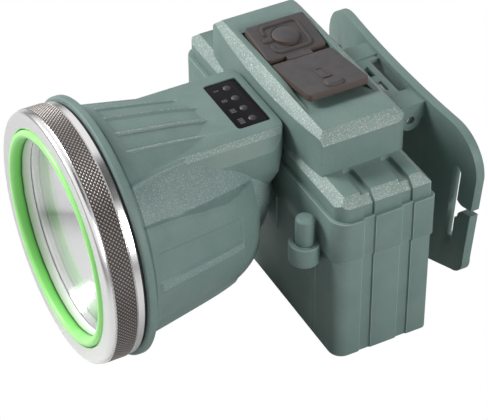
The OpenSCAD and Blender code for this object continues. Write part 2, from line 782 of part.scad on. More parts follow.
// Lower case: open cup with screw pillars and a pad for the head's tube
module lower_case() {
    rib_w = 2.4;
    color(green)
        difference() {
            union() {
                difference() {
                    block_slab(z_case, z_band, 0);
                    block_slab(z_case + wall, z_band + 1, -wall);
                }
                at_case_screws() translate([0, 0, z_case]) cylinder(r = pillar_r, h = case_h);
                box([-tube_d / 2 - 2, y_band, axis_z - tube_d / 2 - 2],
                    [tube_d / 2 + 2, y_block + 1, z_band]);
                box([post_x - 2 - rib_w / 2, y_block - 0.5, z_case + 2],
                    [post_x - 2 + rib_w / 2, y_block + 1, z_ring - 0.5]);
            }
            end_channels(z_case - 1, z_band + 1, 0);
            at_case_screws() translate([0, 0, z_case - 1]) cylinder(r = case_screw_r + 0.1, h = case_h + 2);
            at_head_screws() rod_y([0, y_band - 1, 0], head_screw_r, wall + band_proud + 2);
            // Rebate for the seal
            translate([0, y_mid, z_band - 1])
                linear_extrude(2) block_plan(0.8 - wall);
        }
}

// Rubber seal in the case's rebate
module case_seal() {
    color("#17191A")
        translate([0, y_mid, z_band - 1])
            linear_extrude(1)
                difference() {
                    block_plan(0.75 - wall);
                    block_plan(-wall);
                }
}

// Four long screws that clamp case, band and cap; the block stands on their heads
module case_screws() {
    color("#9A9C9E")
        at_case_screws() {
            difference() {
                cylinder(r = 2.3, h = foot_h);
                translate([-1.8, -0.3, -1]) cube([3.6, 0.6, 1.4]);
            }
            cylinder(r = case_screw_r, h = z_cap + cap_h - cap_bevel - 1.6);
        }
}

// ---- Cells ----

// Tray with two round tunnels for the cells
module cell_holder() {
    z0 = z_case + wall;
    tunnel = cell_len / 2 + contact_t + 0.1;
    color("#22262A")
        difference() {
            box([-holder_w / 2, y_mid - holder_d / 2, z0],
                [holder_w / 2, y_mid + holder_d / 2, z0 + holder_h]);
            for (z = [z_cell_lower, z_cell_upper])
                rod_x(-tunnel, tunnel, y_mid, z, cell_d / 2 + 0.1);
            box([-tunnel + 8, y_mid - holder_d, z0 + 4],
                [tunnel - 8, y_mid - holder_d / 2 + 3, z0 + holder_h - 4]);
        }
}

module cell(z) {
    rod_x(-cell_len / 2, cell_len / 2, y_mid, z, cell_d / 2);
}

// Rechargeable cell, on top
module cell_upper() {
    color("#3C6FA8") cell(z_cell_upper);
}

// Rechargeable cell, underneath
module cell_lower() {
    color("#3C6FA8") cell(z_cell_lower);
}

// Nickel contact plates at both ends of the cells
module cell_contacts() {
    color("#C8C4B4")
        for (side = [-1, 1], z = [z_cell_lower, z_cell_upper])
            rod_x(side > 0 ? cell_len / 2 : -cell_len / 2 - contact_t,
                side > 0 ? cell_len / 2 + contact_t : -cell_len / 2, y_mid, z, cell_d / 2 - 2);
}

// ---- Controls under the hump ----

// Circuit board screwed to the bosses under the hump
module control_board() {
    edge = 1.2;
    color("#2F5A3A")
        difference() {
            box([-hump_w / 2 + wall + edge, hump_front + hump_bow + wall + 0.4, z_board],
                [hump_w / 2 - wall - edge, hump_back - wall - 0.4, z_tact]);
            at_board_screws()
                translate([0, 0, z_board - 1]) cylinder(r = board_screw_r + 0.2, h = board_t + 2);
        }
}

// Screws of the control board
module board_screws() {
    color("#9A9C9E")
        at_board_screws() translate([0, 0, z_board]) {
            translate([0, 0, -1.2]) cylinder(r = 1.9, h = 1.2);
            translate([0, 0, -eps]) cylinder(r = board_screw_r, h = board_t + board_screw_len);
        }
}

// Push switch on the board
module tact_switch() {
    color("#3A3D40")
        difference() {
            translate([button_x - tact_w / 2, y_cover - tact_w / 2, z_tact]) cube([tact_w, tact_w, tact_h]);
            translate([button_x, y_cover, z_tact + 1]) cylinder(r = stem_r + 0.1, h = tact_h);
        }
}

// Plunger of the push switch
module switch_plunger() {
    z0 = z_tact + 1 + button_travel + 0.2;
    color("#C9C4B0")
        translate([button_x, y_cover, z0]) cylinder(r = stem_r, h = z_floor - 1 - z0);
}

// Domed rubber button with a stem that presses the plunger
module switch_button() {
    base = z_floor + button_travel + 0.2;
    rim = valley_z + pad_len / 2 * sin(cover_rise) + 0.4;
    dome_h = 0.9;
    dome_r = (pow(button_d / 2, 2) + pow(dome_h, 2)) / (2 * dome_h);
    color(rubber_brown)
        translate([button_x, y_cover, 0]) {
            translate([0, 0, base]) cylinder(d = button_d, h = rim - base);
            intersection() {
                translate([0, 0, rim + dome_h - dome_r]) sphere(dome_r);
                translate([0, 0, rim - eps]) cylinder(d = button_d, h = 3);
            }
            translate([0, 0, z_floor - 1]) cylinder(r = stem_r, h = base - z_floor + 1 + eps);
        }
}

// Left half of the rubber cover: the switch pad, with the strip towards the flap
module switch_pad() {
    plinth = 1.6;
    far = pad_len * cos(cover_rise);
    color(rubber_brown)
        difference() {
            union() {
                translate([pad_x, y_cover, valley_z]) rotate([0, cover_rise, 0])
                    translate([-pad_len, -cover_w / 2, -cover_t]) cube([pad_len, cover_w, cover_t]);
                // Plinth that stands on the recess floor
                intersection() {
                    box([pad_x - far + plinth, y_cover - cover_w / 2 + plinth, z_floor],
                        [pad_x - 0.5, y_cover + cover_w / 2 - plinth, z_hump_top + 2]);
                    translate([pad_x, y_cover, valley_z]) rotate([0, cover_rise, 0])
                        translate([-pad_len, -cover_w / 2, -cover_t - 4])
                            cube([pad_len, cover_w, cover_t + 3.5]);
                }
                box([pad_x - 1, y_cover - neck_strip_w / 2, z_floor],
                    [flap_axis_x - cover_t / 2 - strip_gap, y_cover + neck_strip_w / 2, valley_z]);
                // Raised C-shaped outline with a bar in its gap
                translate([pad_x, y_cover, valley_z]) rotate([0, cover_rise, 0])
                    translate([-pad_len / 2, 0, -0.1]) pad_mark();
            }
            translate([button_x, y_cover, z_floor - 1]) cylinder(d = button_d + 0.5, h = 8);
        }
}

// The raised outline round the button
module pad_mark() {
    linear_extrude(0.5)
        difference() {
            round_rect(11.4, 11.8, 2);
            round_rect(9.8, 10.2, 1.2);
            translate([0, -6]) square([3.6, 3], center = true);
        }
    linear_extrude(0.5) translate([0, -5.6]) square([1.3, 2.6], center = true);
}

// Charging socket that stands on the board
module usb_socket() {
    color("#B9BCBE")
        difference() {
            box([usb_x - usb_w / 2, y_cover - usb_l / 2, z_tact],
                [usb_x + usb_w / 2, y_cover + usb_l / 2, z_floor]);
            box([usb_x - usb_w / 2 + 0.4, y_cover - usb_l / 2 + 0.4, z_tact + 1.5],
                [usb_x + usb_w / 2 - 0.4, y_cover + usb_l / 2 - 0.4, z_floor + 1]);
        }
}

// Right half of the rubber cover: a flap hinged at the valley, with a plug for the socket
module usb_flap() {
    tongue = 1.6;
    color(rubber_brown) {
        rod_y([flap_axis_x, y_cover - cover_w / 2, flap_axis_z], cover_t / 2, cover_w);
        translate([flap_axis_x, y_cover, flap_axis_z]) rotate([0, -cover_rise, 0]) {
            translate([0, -cover_w / 2, -cover_t / 2]) cube([flap_len, cover_w, cover_t]);
            // Pull nub and a plain raised outline beside it
            translate([flap_len - 4.6, -2.2, cover_t / 2 - 0.1]) cube([3, 4.4, 0.9]);
            translate([flap_len - 12.4, -1.4, cover_t / 2 - 0.1]) linear_extrude(0.4) difference() {
                square([6, 2.8]);
                translate([0.6, 0.6]) square([4.8, 1.6]);
            }
        }
        tongue_top = flap_axis_z + (usb_x - flap_axis_x) * tan(cover_rise);
        box([usb_x - tongue / 2, y_cover - usb_l / 2 + 1, z_floor - 1.2],
            [usb_x + tongue / 2, y_cover + usb_l / 2 - 1, tongue_top]);
    }
}

// ---- Lock post ----

// Round post that slides in the band's ring
module lock_post() {
    edge = 0.5;
    color(green)
        translate([post_x, y_post, z_ring + 0.5])
            rotate_extrude()
                polygon([[0, 0], [post_d / 2 - edge, 0], [post_d / 2, edge], [post_d / 2, post_len - edge],
                    [post_d / 2 - edge, post_len], [0, post_len]]);
}

// ---- Bracket ----

// Outline of the forehead plate in X and Z, right half
module plate_half() {
    w = plate_w / 2;
    low = z_plate_low;
    square_top = z_plate_top - wing_r;
    hook = [w - hook_r - 3.1, low + arm_rise + 0.9];
    translate([w - wing_r, square_top]) circle(wing_r);
    polygon([[0, z_plate_top], [w - wing_r, z_plate_top], [w - wing_r, square_top], [w, square_top],
        [hook.x + hook_r - 0.1, low + arm_rise], [hook.x + 0.1, hook.y - hook_r], [w - arm_slope_w, low],
        [0, low]]);
    translate(hook) circle(hook_r);
}

// A side strap slot with its mouth open to the outer edge
module strap_slot() {
    translate([slot_x, slot_top]) rotate(-slot_lean) {
        translate([-strap_slot_w / 2, strap_slot_w / 2 - strap_slot_h])
            square([strap_slot_w, strap_slot_h - strap_slot_w]);
        translate([0, -strap_slot_w / 2]) circle(strap_slot_w / 2);
        translate([0, strap_slot_w / 2 - strap_slot_h]) circle(strap_slot_w / 2);
        translate([0, -strap_slot_h / 2 - 1]) rotate(16) square([14, 2.4]);
    }
}

// Forehead plate with wings, shelf, strap slots and hinge cheeks
module bracket() {
    latch_slot = [4.8, 1.6];
    color(green)
        difference() {
            union() {
                intersection() {
                    translate([0, y_plate + plate_t + plate_sag + 1, 0]) rotate([90, 0, 0])
                        linear_extrude(plate_t + plate_sag + 2)
                            difference() {
                                for (side = [0, 1]) mirror([side, 0]) plate_half();
                                for (side = [0, 1]) mirror([side, 0]) strap_slot();
                            }
                    translate([0, y_plate + plate_t + plate_r, 0])
                        difference() {
                            cylinder(r = plate_r + plate_t, h = z_plate_top + 1, $fn = 720);
                            translate([0, 0, -1]) cylinder(r = plate_r, h = z_plate_top + 3, $fn = 720);
                        }
                }
                // Flat land in the middle of the back, which rests on the helmet or the forehead
                box([-land_w / 2, y_plate + 1, z_plate_low + 6],
                    [land_w / 2, y_plate + plate_t + land_t, z_plate_top - 8]);
                box([-shelf_w / 2, y_shelf, z_shelf],
                    [shelf_w / 2, y_plate + 1.2, z_shelf + shelf_t]);
                for (side = [-1, 1]) {
                    x0 = side > 0 ? cheek_x : -shelf_w / 2;
                    rod_x(x0, x0 + cheek_t, y_hinge, z_hinge, knuckle_r);
                    box([x0, y_hinge - knuckle_r, z_hinge],
                        [x0 + cheek_t, y_plate + 1.2, z_shelf + eps]);
                }
            }
            rod_x(-shelf_w, shelf_w, y_hinge, z_hinge, pin_d / 2 + 0.02);
            // Top strap slot and the two latch slots
            translate([0, y_plate - strap_slot_w / 2 - 0.05, z_shelf - 1])
                linear_extrude(shelf_t + 2) square([top_slot_len, strap_slot_w], center = true);
            for (side = [-1, 1])
                translate([side * 3.65, y_shelf + 1.6, z_shelf - 1])
                    linear_extrude(shelf_t + 2) square(latch_slot, center = true);
        }
}

// Steel hinge pin, fast in the cheeks
module hinge_pin() {
    color("#B9BCBE") rod_x(-shelf_w / 2 + 0.2, shelf_w / 2 - 0.2, y_hinge, z_hinge, pin_d / 2);
}

// Washers between knuckles and cheeks that hold the tilt by friction
module friction_washers() {
    gap = 0.1;
    color("#9A9C9E")
        for (side = [-1, 1])
            difference() {
                rod_x(side > 0 ? knuckle_out + gap : -knuckle_out - gap - washer_t,
                    side > 0 ? knuckle_out + gap + washer_t : -knuckle_out - gap,
                    y_hinge, z_hinge, knuckle_r - 0.3);
                rod_x(-shelf_w, shelf_w, y_hinge, z_hinge, pin_d / 2 + run_gap);
            }
}

bezel_ring();
glow_ring();
lens();
bezel_seal();
reflector();
lamp_led();
led_board();
heat_sink();
head_shell();
indicator_window();
indicator_leds();
indicator_board();
head_screws();
upper_housing();
band();
lower_case();
case_seal();
case_screws();
cell_holder();
cell_upper();
cell_lower();
cell_contacts();
control_board();
board_screws();
tact_switch();
switch_plunger();
switch_button();
switch_pad();
usb_socket();
usb_flap();
lock_post();
bracket();
hinge_pin();
friction_washers();
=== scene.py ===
"""A miner's cap lamp, dressed over its packed construction model.

The lamp shines along -Y and stands on its flange and its case screws. Everything is in metres,
and outlines are in millimetres.
"""

import math

import bmesh
import bpy
from mathutils import Matrix, Vector


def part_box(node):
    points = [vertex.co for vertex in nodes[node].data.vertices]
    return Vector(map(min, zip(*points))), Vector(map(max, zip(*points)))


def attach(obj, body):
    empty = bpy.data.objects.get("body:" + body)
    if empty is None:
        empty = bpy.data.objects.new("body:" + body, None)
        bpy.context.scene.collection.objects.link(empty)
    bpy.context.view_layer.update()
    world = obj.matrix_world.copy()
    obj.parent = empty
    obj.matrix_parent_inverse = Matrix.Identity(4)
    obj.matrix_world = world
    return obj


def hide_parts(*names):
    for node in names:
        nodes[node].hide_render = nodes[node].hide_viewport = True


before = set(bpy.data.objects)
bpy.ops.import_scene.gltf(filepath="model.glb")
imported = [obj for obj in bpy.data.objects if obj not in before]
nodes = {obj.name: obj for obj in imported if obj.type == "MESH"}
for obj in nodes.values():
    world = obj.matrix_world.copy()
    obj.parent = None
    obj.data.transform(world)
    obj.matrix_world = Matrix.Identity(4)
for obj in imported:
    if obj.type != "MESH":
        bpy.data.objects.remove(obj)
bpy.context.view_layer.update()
bpy.ops.object.select_all(action="DESELECT")


# ---- Studio ----
# A pale table under one soft lamp from the upper left and a weaker one from the right. It looks
# white to the camera. To a mirror it shows a painted pool of light, pale near the lamp and darker
# further out.

mm = 0.001
target = Vector((4.82, 0.17, 28.33)) * mm       # what the camera looks at
azimuth, elevation, roll = (math.radians(a) for a in (62.73, 39.74, -0.50))
camera_distance = 0.5658
back = Vector((math.sin(azimuth) * math.cos(elevation), -math.cos(azimuth) * math.cos(elevation),
               math.sin(elevation)))
right = Vector((math.cos(azimuth), math.sin(azimuth), 0))
up = back.cross(right)
across = math.cos(roll) * right + math.sin(roll) * up
upward = math.cos(roll) * up - math.sin(roll) * right
camera = bpy.data.objects.new("camera", bpy.data.cameras.new("camera"))
camera.data.sensor_width = 36
camera.data.lens = 154.1
camera.data.clip_start = 0.01
turn = Matrix((across, upward, back)).transposed()
camera.matrix_world = Matrix.Translation(target + back * camera_distance) @ turn.to_4x4()
bpy.context.scene.collection.objects.link(camera)
bpy.context.scene.camera = camera
bpy.context.scene.view_settings.view_transform = "Standard"


def linear(hex_colour):
    """The linear red, green, blue and alpha of an sRGB hex colour."""
    parts = [int(hex_colour[i:i + 2], 16) / 255 for i in (1, 3, 5)]
    return [c / 12.92 if c <= 0.04045 else ((c + 0.055) / 1.055) ** 2.4 for c in parts] + [1.0]


def feed(shader, inputs):
    """Set a node's inputs, each to a value, from a socket, or from another node's first socket."""
    for name, value in inputs.items():
        if isinstance(value, bpy.types.Node):
            value = value.outputs[0]
        if isinstance(value, bpy.types.NodeSocket):
            shader.id_data.links.new(value, shader.inputs[name])
        else:
            shader.inputs[name].default_value = value


def node(tree, kind, inputs=None, stops=(), **settings):
    """Add a node with its settings and inputs; stops are a ramp's places and hex colours."""
    new = tree.nodes.new(kind)
    for name, value in settings.items():
        setattr(new, name, value)
    for i, (place, colour) in enumerate(stops):
        stop = new.color_ramp.elements[i] if i < 2 else new.color_ramp.elements.new(place)
        stop.position = place
        stop.color = linear(colour)
    feed(new, inputs or {})
    return new


def soft_lamp(name, direction, distance, size, watts):
    """A round lamp that looks at the middle of the table; distance and size in metres."""
    data = bpy.data.lights.new(name, "AREA")
    data.shape = "DISK"
    data.size = size
    data.energy = watts
    lamp = bpy.data.objects.new(name, data)
    place = Vector(direction).normalized() * distance
    aim = place.to_track_quat("Z", "Y").to_matrix().to_4x4()
    lamp.matrix_world = Matrix.Translation(place) @ aim
    bpy.context.scene.collection.objects.link(lamp)


soft_lamp("key", direction=(-0.55, -0.56, 0.62), distance=0.9, size=0.45, watts=7.7)
soft_lamp("fill", direction=(0.80, 0.30, 0.45), distance=1.0, size=0.4, watts=5.1)


def sight_lines(tree):
    """Two sockets: 1 for what the camera sees straight or through clear parts, 1 in mirrors."""
    path = node(tree, "ShaderNodeLightPath").outputs
    clear = path["Is Transmission Ray"]
    bounced = node(tree, "ShaderNodeMath", {0: path["Glossy Depth"], 1: 0.5},
                   operation="GREATER_THAN")
    direct = node(tree, "ShaderNodeMath", {0: 1.0, 1: bounced}, operation="SUBTRACT")
    through = node(tree, "ShaderNodeMath", {0: clear, 1: direct}, operation="MULTIPLY")
    straight = node(tree, "ShaderNodeMath", {0: path["Is Camera Ray"], 1: through},
                    operation="MAXIMUM")
    behind = node(tree, "ShaderNodeMath", {0: clear, 1: bounced}, operation="MULTIPLY")
    mirrored = node(tree, "ShaderNodeMath", {0: path["Is Glossy Ray"], 1: behind},
                    operation="MAXIMUM")
    return straight.outputs[0], mirrored.outputs[0]


world = bpy.data.worlds.new("studio")
bpy.context.scene.world = world
world.use_nodes = True
sky = world.node_tree
sky.nodes.clear()
sight, mirrored_sight = sight_lines(sky)
heading = node(sky, "ShaderNodeTexCoord").outputs["Generated"]
height = node(sky, "ShaderNodeSeparateXYZ", {"Vector": heading}).outputs["Z"]
walls = node(sky, "ShaderNodeMapRange", {"Value": height, "From Min": 0.05, "From Max": 0.3,
                                         "To Min": 0.35, "To Max": 1.0})
# A dark flag hangs overhead, to the right; the bright metal mirrors it as a dark streak
flag_heading = (0.26, 0.35, 0.90)
towards = node(sky, "ShaderNodeVectorMath", {0: heading, 1: flag_heading},
               operation="DOT_PRODUCT").outputs["Value"]
flag = node(sky, "ShaderNodeMapRange", {"Value": towards, "From Min": 0.88, "From Max": 0.95,
                                        "To Min": 1.0, "To Max": 0.12})
lit_room = node(sky, "ShaderNodeMath", {0: walls, 1: flag}, operation="MULTIPLY")
dim = node(sky, "ShaderNodeBackground", {"Color": (1, 1, 1, 1), "Strength": 0.14})
room = node(sky, "ShaderNodeBackground", {"Color": (1, 1, 1, 1), "Strength": lit_room})
white = node(sky, "ShaderNodeBackground", {"Color": (1, 1, 1, 1), "Strength": 1.0})
mirrored = node(sky, "ShaderNodeMixShader", {0: mirrored_sight, 1: dim, 2: room})
seen = node(sky, "ShaderNodeMixShader", {0: sight, 1: mirrored, 2: white})
node(sky, "ShaderNodeOutputWorld", {"Surface": seen})

bpy.ops.mesh.primitive_plane_add(size=6)
table = bpy.context.object
table.name = "table"
laminate = bpy.data.materials.new("White laminate")
laminate.use_nodes = True
tree = laminate.node_tree
sight, mirrored_sight = sight_lines(tree)
place = node(tree, "ShaderNodeTexCoord").outputs["Object"]
away = node(tree, "ShaderNodeVectorMath", {0: place}, operation="LENGTH").outputs["Value"]
near = node(tree, "ShaderNodeMapRange", {"Value": away, "From Min": 0.12, "From Max": 0.5,
                                         "To Min": 0.85, "To Max": 0.2})
# Painted pool of light for mirrors: paler near the middle, darker further out
tone = node(tree, "ShaderNodeMix", {0: mirrored_sight, 2: 0.45, 3: near})
paint = tree.nodes["Principled BSDF"]
feed(paint, {"Base Color": tone, "Roughness": 0.9})
lit = node(tree, "ShaderNodeEmission", {"Color": (1, 1, 1, 1), "Strength": 1.0})
part = node(tree, "ShaderNodeMath", {0: near, 1: mirrored_sight}, operation="MULTIPLY")
share = node(tree, "ShaderNodeMath", {0: part, 1: 0.08, 2: sight}, operation="MULTIPLY_ADD")
seen = node(tree, "ShaderNodeMixShader", {0: share, 1: paint, 2: lit})
feed(tree.nodes["Material Output"], {"Surface": seen})
table.data.materials.append(laminate)


# ---- Bezel ----
# Turned aluminium ring that screws onto the head. A diamond knurl is rolled into its middle, and
# the polished rings on both sides of the knurl keep the fine lines of the lathe.

head_low, head_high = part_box("head_shell")
bezel_low, bezel_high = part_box("bezel_ring")
axis_z = (head_low.z + head_high.z) / 2


def alone(piece):
    """Make piece the only selected and active object."""
    bpy.ops.object.select_all(action="DESELECT")
    piece.select_set(True)
    bpy.context.view_layer.objects.active = piece


def edit_all(piece):
    """Go into edit mode with the whole of a piece selected."""
    alone(piece)
    bpy.ops.object.mode_set(mode="EDIT")
    bpy.ops.mesh.select_all(action="SELECT")


def face_outwards():
    """Point every face of the piece in edit mode outwards, and leave edit mode."""
    bpy.ops.mesh.select_all(action="SELECT")
    bpy.ops.mesh.normals_make_consistent(inside=False)
    bpy.ops.object.mode_set(mode="OBJECT")


def drawn(name, points, edges, faces):
    """A new piece from points in metres and what joins them, wholly selected in edit mode."""
    mesh = bpy.data.meshes.new(name)
    mesh.from_pydata(points, edges, faces)
    piece = bpy.data.objects.new(name, mesh)
    bpy.context.scene.collection.objects.link(piece)
    edit_all(piece)
    return piece


def turned(name, outline, y_start, steps, closed=True):
    """Spin an outline of (radius, distance behind y_start) points in mm about the lamp axis."""
    points = [(r * mm, y_start + s * mm, axis_z) for r, s in outline]
    edges = [(i, i + 1) for i in range(len(points) - 1)]
    if closed:
        edges.append((len(points) - 1, 0))
    piece = drawn(name, points, edges, [])
    bpy.ops.mesh.spin(steps=steps, angle=2 * math.pi, center=(0, 0, axis_z), axis=(0, 1, 0))
    bpy.ops.mesh.select_all(action="SELECT")
    bpy.ops.mesh.remove_doubles(threshold=0.000004)
    face_outwards()
    return piece


def smooth(piece, degrees=30):
    """Shade smooth, with edges sharper than the angle kept crisp."""
    alone(piece)
    bpy.ops.object.shade_smooth_by_angle(angle=math.radians(degrees))


def arc(centre, radius, start, end, count):
    """Points of an arc round a centre, angles in degrees."""
    turns = [math.radians(start + (end - start) * i / count) for i in range(count + 1)]
    return [(centre[0] + radius * math.cos(t), centre[1] + radius * math.sin(t)) for t in turns]


def off_axis(point):
    """Distance of a point from the lamp axis."""
    return math.hypot(point.x, point.z - axis_z)


def swell(point, factor):
    """Move a point away from the lamp axis, or towards it, by a factor."""
    point.x *= factor
    point.z = axis_z + (point.z - axis_z) * factor


ring_r = 34.65            # smooth rings, in mm
groove_r = ring_r - 0.35  # narrow grooves beside the knurl
knurl_r = (bezel_high.z - bezel_low.z) / 2 / mm
knurl_start, knurl_len = 1.9, 5.6
knurl_end = knurl_start + knurl_len
knurl_rows = 10           # half diamonds along the band
knurl_columns = 360       # half diamonds round it
knurl_deep = 0.27
bezel_len = (bezel_high.y - bezel_low.y) / mm
bore_r = 30.0
thread_r = 31.8
lip = 2.4
shoulder = 1.1            # rounding of the front edge
bezel_outline = [(bore_r, 0.5), (bore_r + 0.15, 0.15), (bore_r + 0.5, 0)]
bezel_outline += arc((ring_r - shoulder, shoulder), shoulder, -90, 0, 8)
bezel_outline += [(ring_r, knurl_start - 0.45), (groove_r, knurl_start - 0.2),
                  (groove_r, knurl_start - 0.1)]
bezel_outline += [(knurl_r, knurl_start + knurl_len * i / knurl_rows)
                  for i in range(knurl_rows + 1)]
bezel_outline += [(groove_r, knurl_end + 0.1), (groove_r, knurl_end + 0.2),
                  (ring_r, knurl_end + 0.45), (ring_r, bezel_len - 0.3), (ring_r - 0.3, bezel_len)]
bezel_outline += [(thread_r, bezel_len), (thread_r, lip), (bore_r, lip)]
bezel = turned("bezel", bezel_outline, bezel_low.y, knurl_columns)

# Every second point of the band is pressed in, and the points pressed in are joined into grooves
bpy.ops.object.mode_set(mode="EDIT")
bpy.ops.mesh.select_mode(type="VERT")
bpy.ops.mesh.select_all(action="DESELECT")
shape = bmesh.from_edit_mesh(bezel.data)
for vert in shape.verts:
    row = ((vert.co.y - bezel_low.y) / mm - knurl_start) / knurl_len * knurl_rows
    if off_axis(vert.co) > (knurl_r - 0.05) * mm and -0.5 < row < knurl_rows + 0.5:
        column = math.atan2(vert.co.z - axis_z, vert.co.x) / math.tau * knurl_columns
        if (round(row) + round(column)) % 2 == 0:
            vert.select_set(True)
            swell(vert.co, (knurl_r - knurl_deep) / knurl_r)
bmesh.update_edit_mesh(bezel.data)
bpy.ops.mesh.vert_connect()
bpy.ops.object.mode_set(mode="OBJECT")
smooth(bezel, 20)


def material(name, base, roughness, metallic=0.0):
    """A new material with a Principled shader; returns the material, its tree and that shader."""
    new = bpy.data.materials.new(name)
    new.use_nodes = True
    shader = new.node_tree.nodes["Principled BSDF"]
    feed(shader, {"Base Color": linear(base), "Roughness": roughness, "Metallic": metallic})
    return new, new.node_tree, shader


def dress(piece, *finishes):
    """Give a piece its materials in place of those it has."""
    piece.data.materials.clear()
    for finish in finishes:
        piece.data.materials.append(finish)


def from_axis(tree):
    """Object coordinates counted from the lamp axis."""
    place = node(tree, "ShaderNodeTexCoord").outputs["Object"]
    return node(tree, "ShaderNodeMapping", {"Vector": place, "Location": (0, 0, -axis_z)})


# Turned aluminium: bright, with faint rings left by the tool. A scale of 400 puts them 0.8 mm
# apart, coarser than the real ones so that they show
turned_aluminium, tree, shader = material("Turned aluminium", "#E8E7E7", 0.2, 1.0)
centred = from_axis(tree)
rings = node(tree, "ShaderNodeTexWave", {"Vector": centred, "Scale": 400.0, "Distortion": 0.4,
                                         "Detail": 2.0, "Detail Scale": 0.02},
             wave_type="RINGS", rings_direction="Y").outputs["Fac"]
tool_marks = node(tree, "ShaderNodeBump", {"Height": rings, "Strength": 0.12,
                                           "Distance": 0.04 * mm})
streaks = node(tree, "ShaderNodeTexNoise", {"Vector": centred, "Scale": 0.26 / mm, "Detail": 3.0})
gloss = node(tree, "ShaderNodeMapRange", {"Value": streaks, "To Min": 0.14, "To Max": 0.3})
feed(shader, {"Normal": tool_marks, "Roughness": gloss})

# Knurled aluminium: the rolled diamonds scatter, and the grooves are painted darker than the
# crests, a painted shade
knurled_aluminium, tree, shader = material("Knurled aluminium", "#B4AFAC", 0.38, 1.0)
parts = node(tree, "ShaderNodeSeparateXYZ", {"Vector": from_axis(tree)})
flat = node(tree, "ShaderNodeCombineXYZ", {"X": parts.outputs["X"], "Y": parts.outputs["Z"]})
radius = node(tree, "ShaderNodeVectorMath", {0: flat}, operation="LENGTH").outputs["Value"]
crest = node(tree, "ShaderNodeMapRange", {"Value": radius, "From Max": knurl_r * mm,
                                          "From Min": (knurl_r - knurl_deep) * mm})
# Grooves painted darker than the crests: painted shade
groove_shade = node(tree, "ShaderNodeValToRGB", {"Fac": crest}, stops=((0.15, "#4E4846"), (1, "#B8B3B0")))
feed(shader, {"Base Color": groove_shade})

dress(bezel, turned_aluminium, knurled_aluminium)
for face in bezel.data.polygons:
    along = (face.center.y - bezel_low.y) / mm - knurl_start
    if 0 < along < knurl_len and off_axis(face.center) > (ring_r - 0.3) * mm:
        face.material_index = 1
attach(bezel, "lamp")
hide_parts("bezel_ring")


# ---- Glow ring ----
# Translucent silicone sleeve, trapped by its flange behind the bezel's lip. It glows in the dark.
# In daylight its front is a strong green. Here it is painted brightest at its front lip and darker
# going in, as painted shade, then a dark line of painted shade, and behind that its wall is painted
# pale to white, a painted highlight.

glow_low, glow_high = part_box("glow_ring")
glow_depth = (glow_high.y - glow_low.y) / mm
glow_out = 29.7
glow_wall = 2.2
glow_lip = 3.0
glow_flange_r = 31.5
glow_outline = arc((glow_out - glow_wall / 2, glow_wall / 2), glow_wall / 2, 180, 360, 10)
glow_outline += [(glow_out, glow_lip), (glow_flange_r, glow_lip), (glow_flange_r, glow_depth),
                 (glow_out - glow_wall, glow_depth)]
glow = turned("glow_ring_moulded", glow_outline, glow_low.y, 180)
smooth(glow, 35)
# Phosphorescent silicone: light goes into it, and its colour is painted by how deep it sits, as
# painted light and shade. Its weak emission is a painted glow.
silicone, tree, shader = material("Phosphorescent silicone", "#7FE56C", 0.32)
place = node(tree, "ShaderNodeTexCoord").outputs["Object"]
mottle = node(tree, "ShaderNodeTexNoise", {"Vector": place, "Scale": 0.22 / mm, "Detail": 4.0})
along = node(tree, "ShaderNodeSeparateXYZ", {"Vector": place}).outputs["Y"]
depth = node(tree, "ShaderNodeMapRange", {"Value": along, "From Min": glow_low.y,
                                          "From Max": glow_high.y})
uneven = node(tree, "ShaderNodeMath", {0: mottle, 1: 0.06, 2: depth}, operation="MULTIPLY_ADD")
# Painted by depth: a bright front, painted shade going in, a dark line of painted shade, then a
# pale to white painted highlight
painted_glow_stops = ((0.1, "#A4F08F"), (0.42, "#7FDE6B"), (0.52, "#63C554"), (0.56, "#33622E"),
              (0.6, "#33622E"), (0.64, "#B9D9B0"), (1.0, "#FFFFFF"))
painted_glow_tone = node(tree, "ShaderNodeValToRGB", {"Fac": uneven}, stops=painted_glow_stops)
feed(shader, {"Base Color": painted_glow_tone, "Emission Color": painted_glow_tone, "Emission Strength": 0.22,
              "Subsurface Weight": 0.35, "Subsurface Radius": (0.5, 1.0, 0.4),
              "Subsurface Scale": 1.2 * mm})
dress(glow, silicone)
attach(glow, "lamp")
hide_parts("glow_ring")


# ---- Lens, seal and light source ----
# A clear polycarbonate disc, a thin black seal behind the bezel, and the parts in the reflector.
# These keep their construction meshes and get their finishes.

def grained(name, base, roughness, per_mm, metallic=0.0, detail=2.0, gloss=None, bump=None):
    """A finish of one colour with per_mm grains in a millimetre. They vary the roughness between
    the two values of gloss, or raise the skin by bump, a strength and a height in mm."""
    new, tree, shader = material(name, base, roughness, metallic)
    place = node(tree, "ShaderNodeTexCoord").outputs["Object"]
    grain = node(tree, "ShaderNodeTexNoise", {"Vector": place, "Scale": per_mm / mm,
                                              "Detail": detail})
    if gloss:
        feed(shader, {"Roughness": node(tree, "ShaderNodeMapRange", {
            "Value": grain, "To Min": gloss[0], "To Max": gloss[1]})})
    if bump:
        feed(shader, {"Normal": node(tree, "ShaderNodeBump", {
            "Height": grain, "Strength": bump[0], "Distance": bump[1] * mm})})
    return new


def dress_nodes(**finishes):
    """Give construction nodes their finishes, by name."""
    for name, finish in finishes.items():
        dress(nodes[name], finish)


# Clear polycarbonate: polished in its mould, so only its edge and its gloss show
polycarbonate, tree, shader = material("Clear polycarbonate", "#F4F8F7", 0.03)
feed(shader, {"IOR": 1.58, "Transmission Weight": 1.0})
# Nitrile rubber: black and dull; phosphor: a fine-grained yellow under its clear dome
black_rubber = grained("Black nitrile rubber", "#0E0F10", 0.7, 0.9, gloss=(0.55, 0.85))
yellow_phosphor = grained("Yellow phosphor under silicone", "#E8C94E", 0.25, 2.5, bump=(0.2, 0.05))
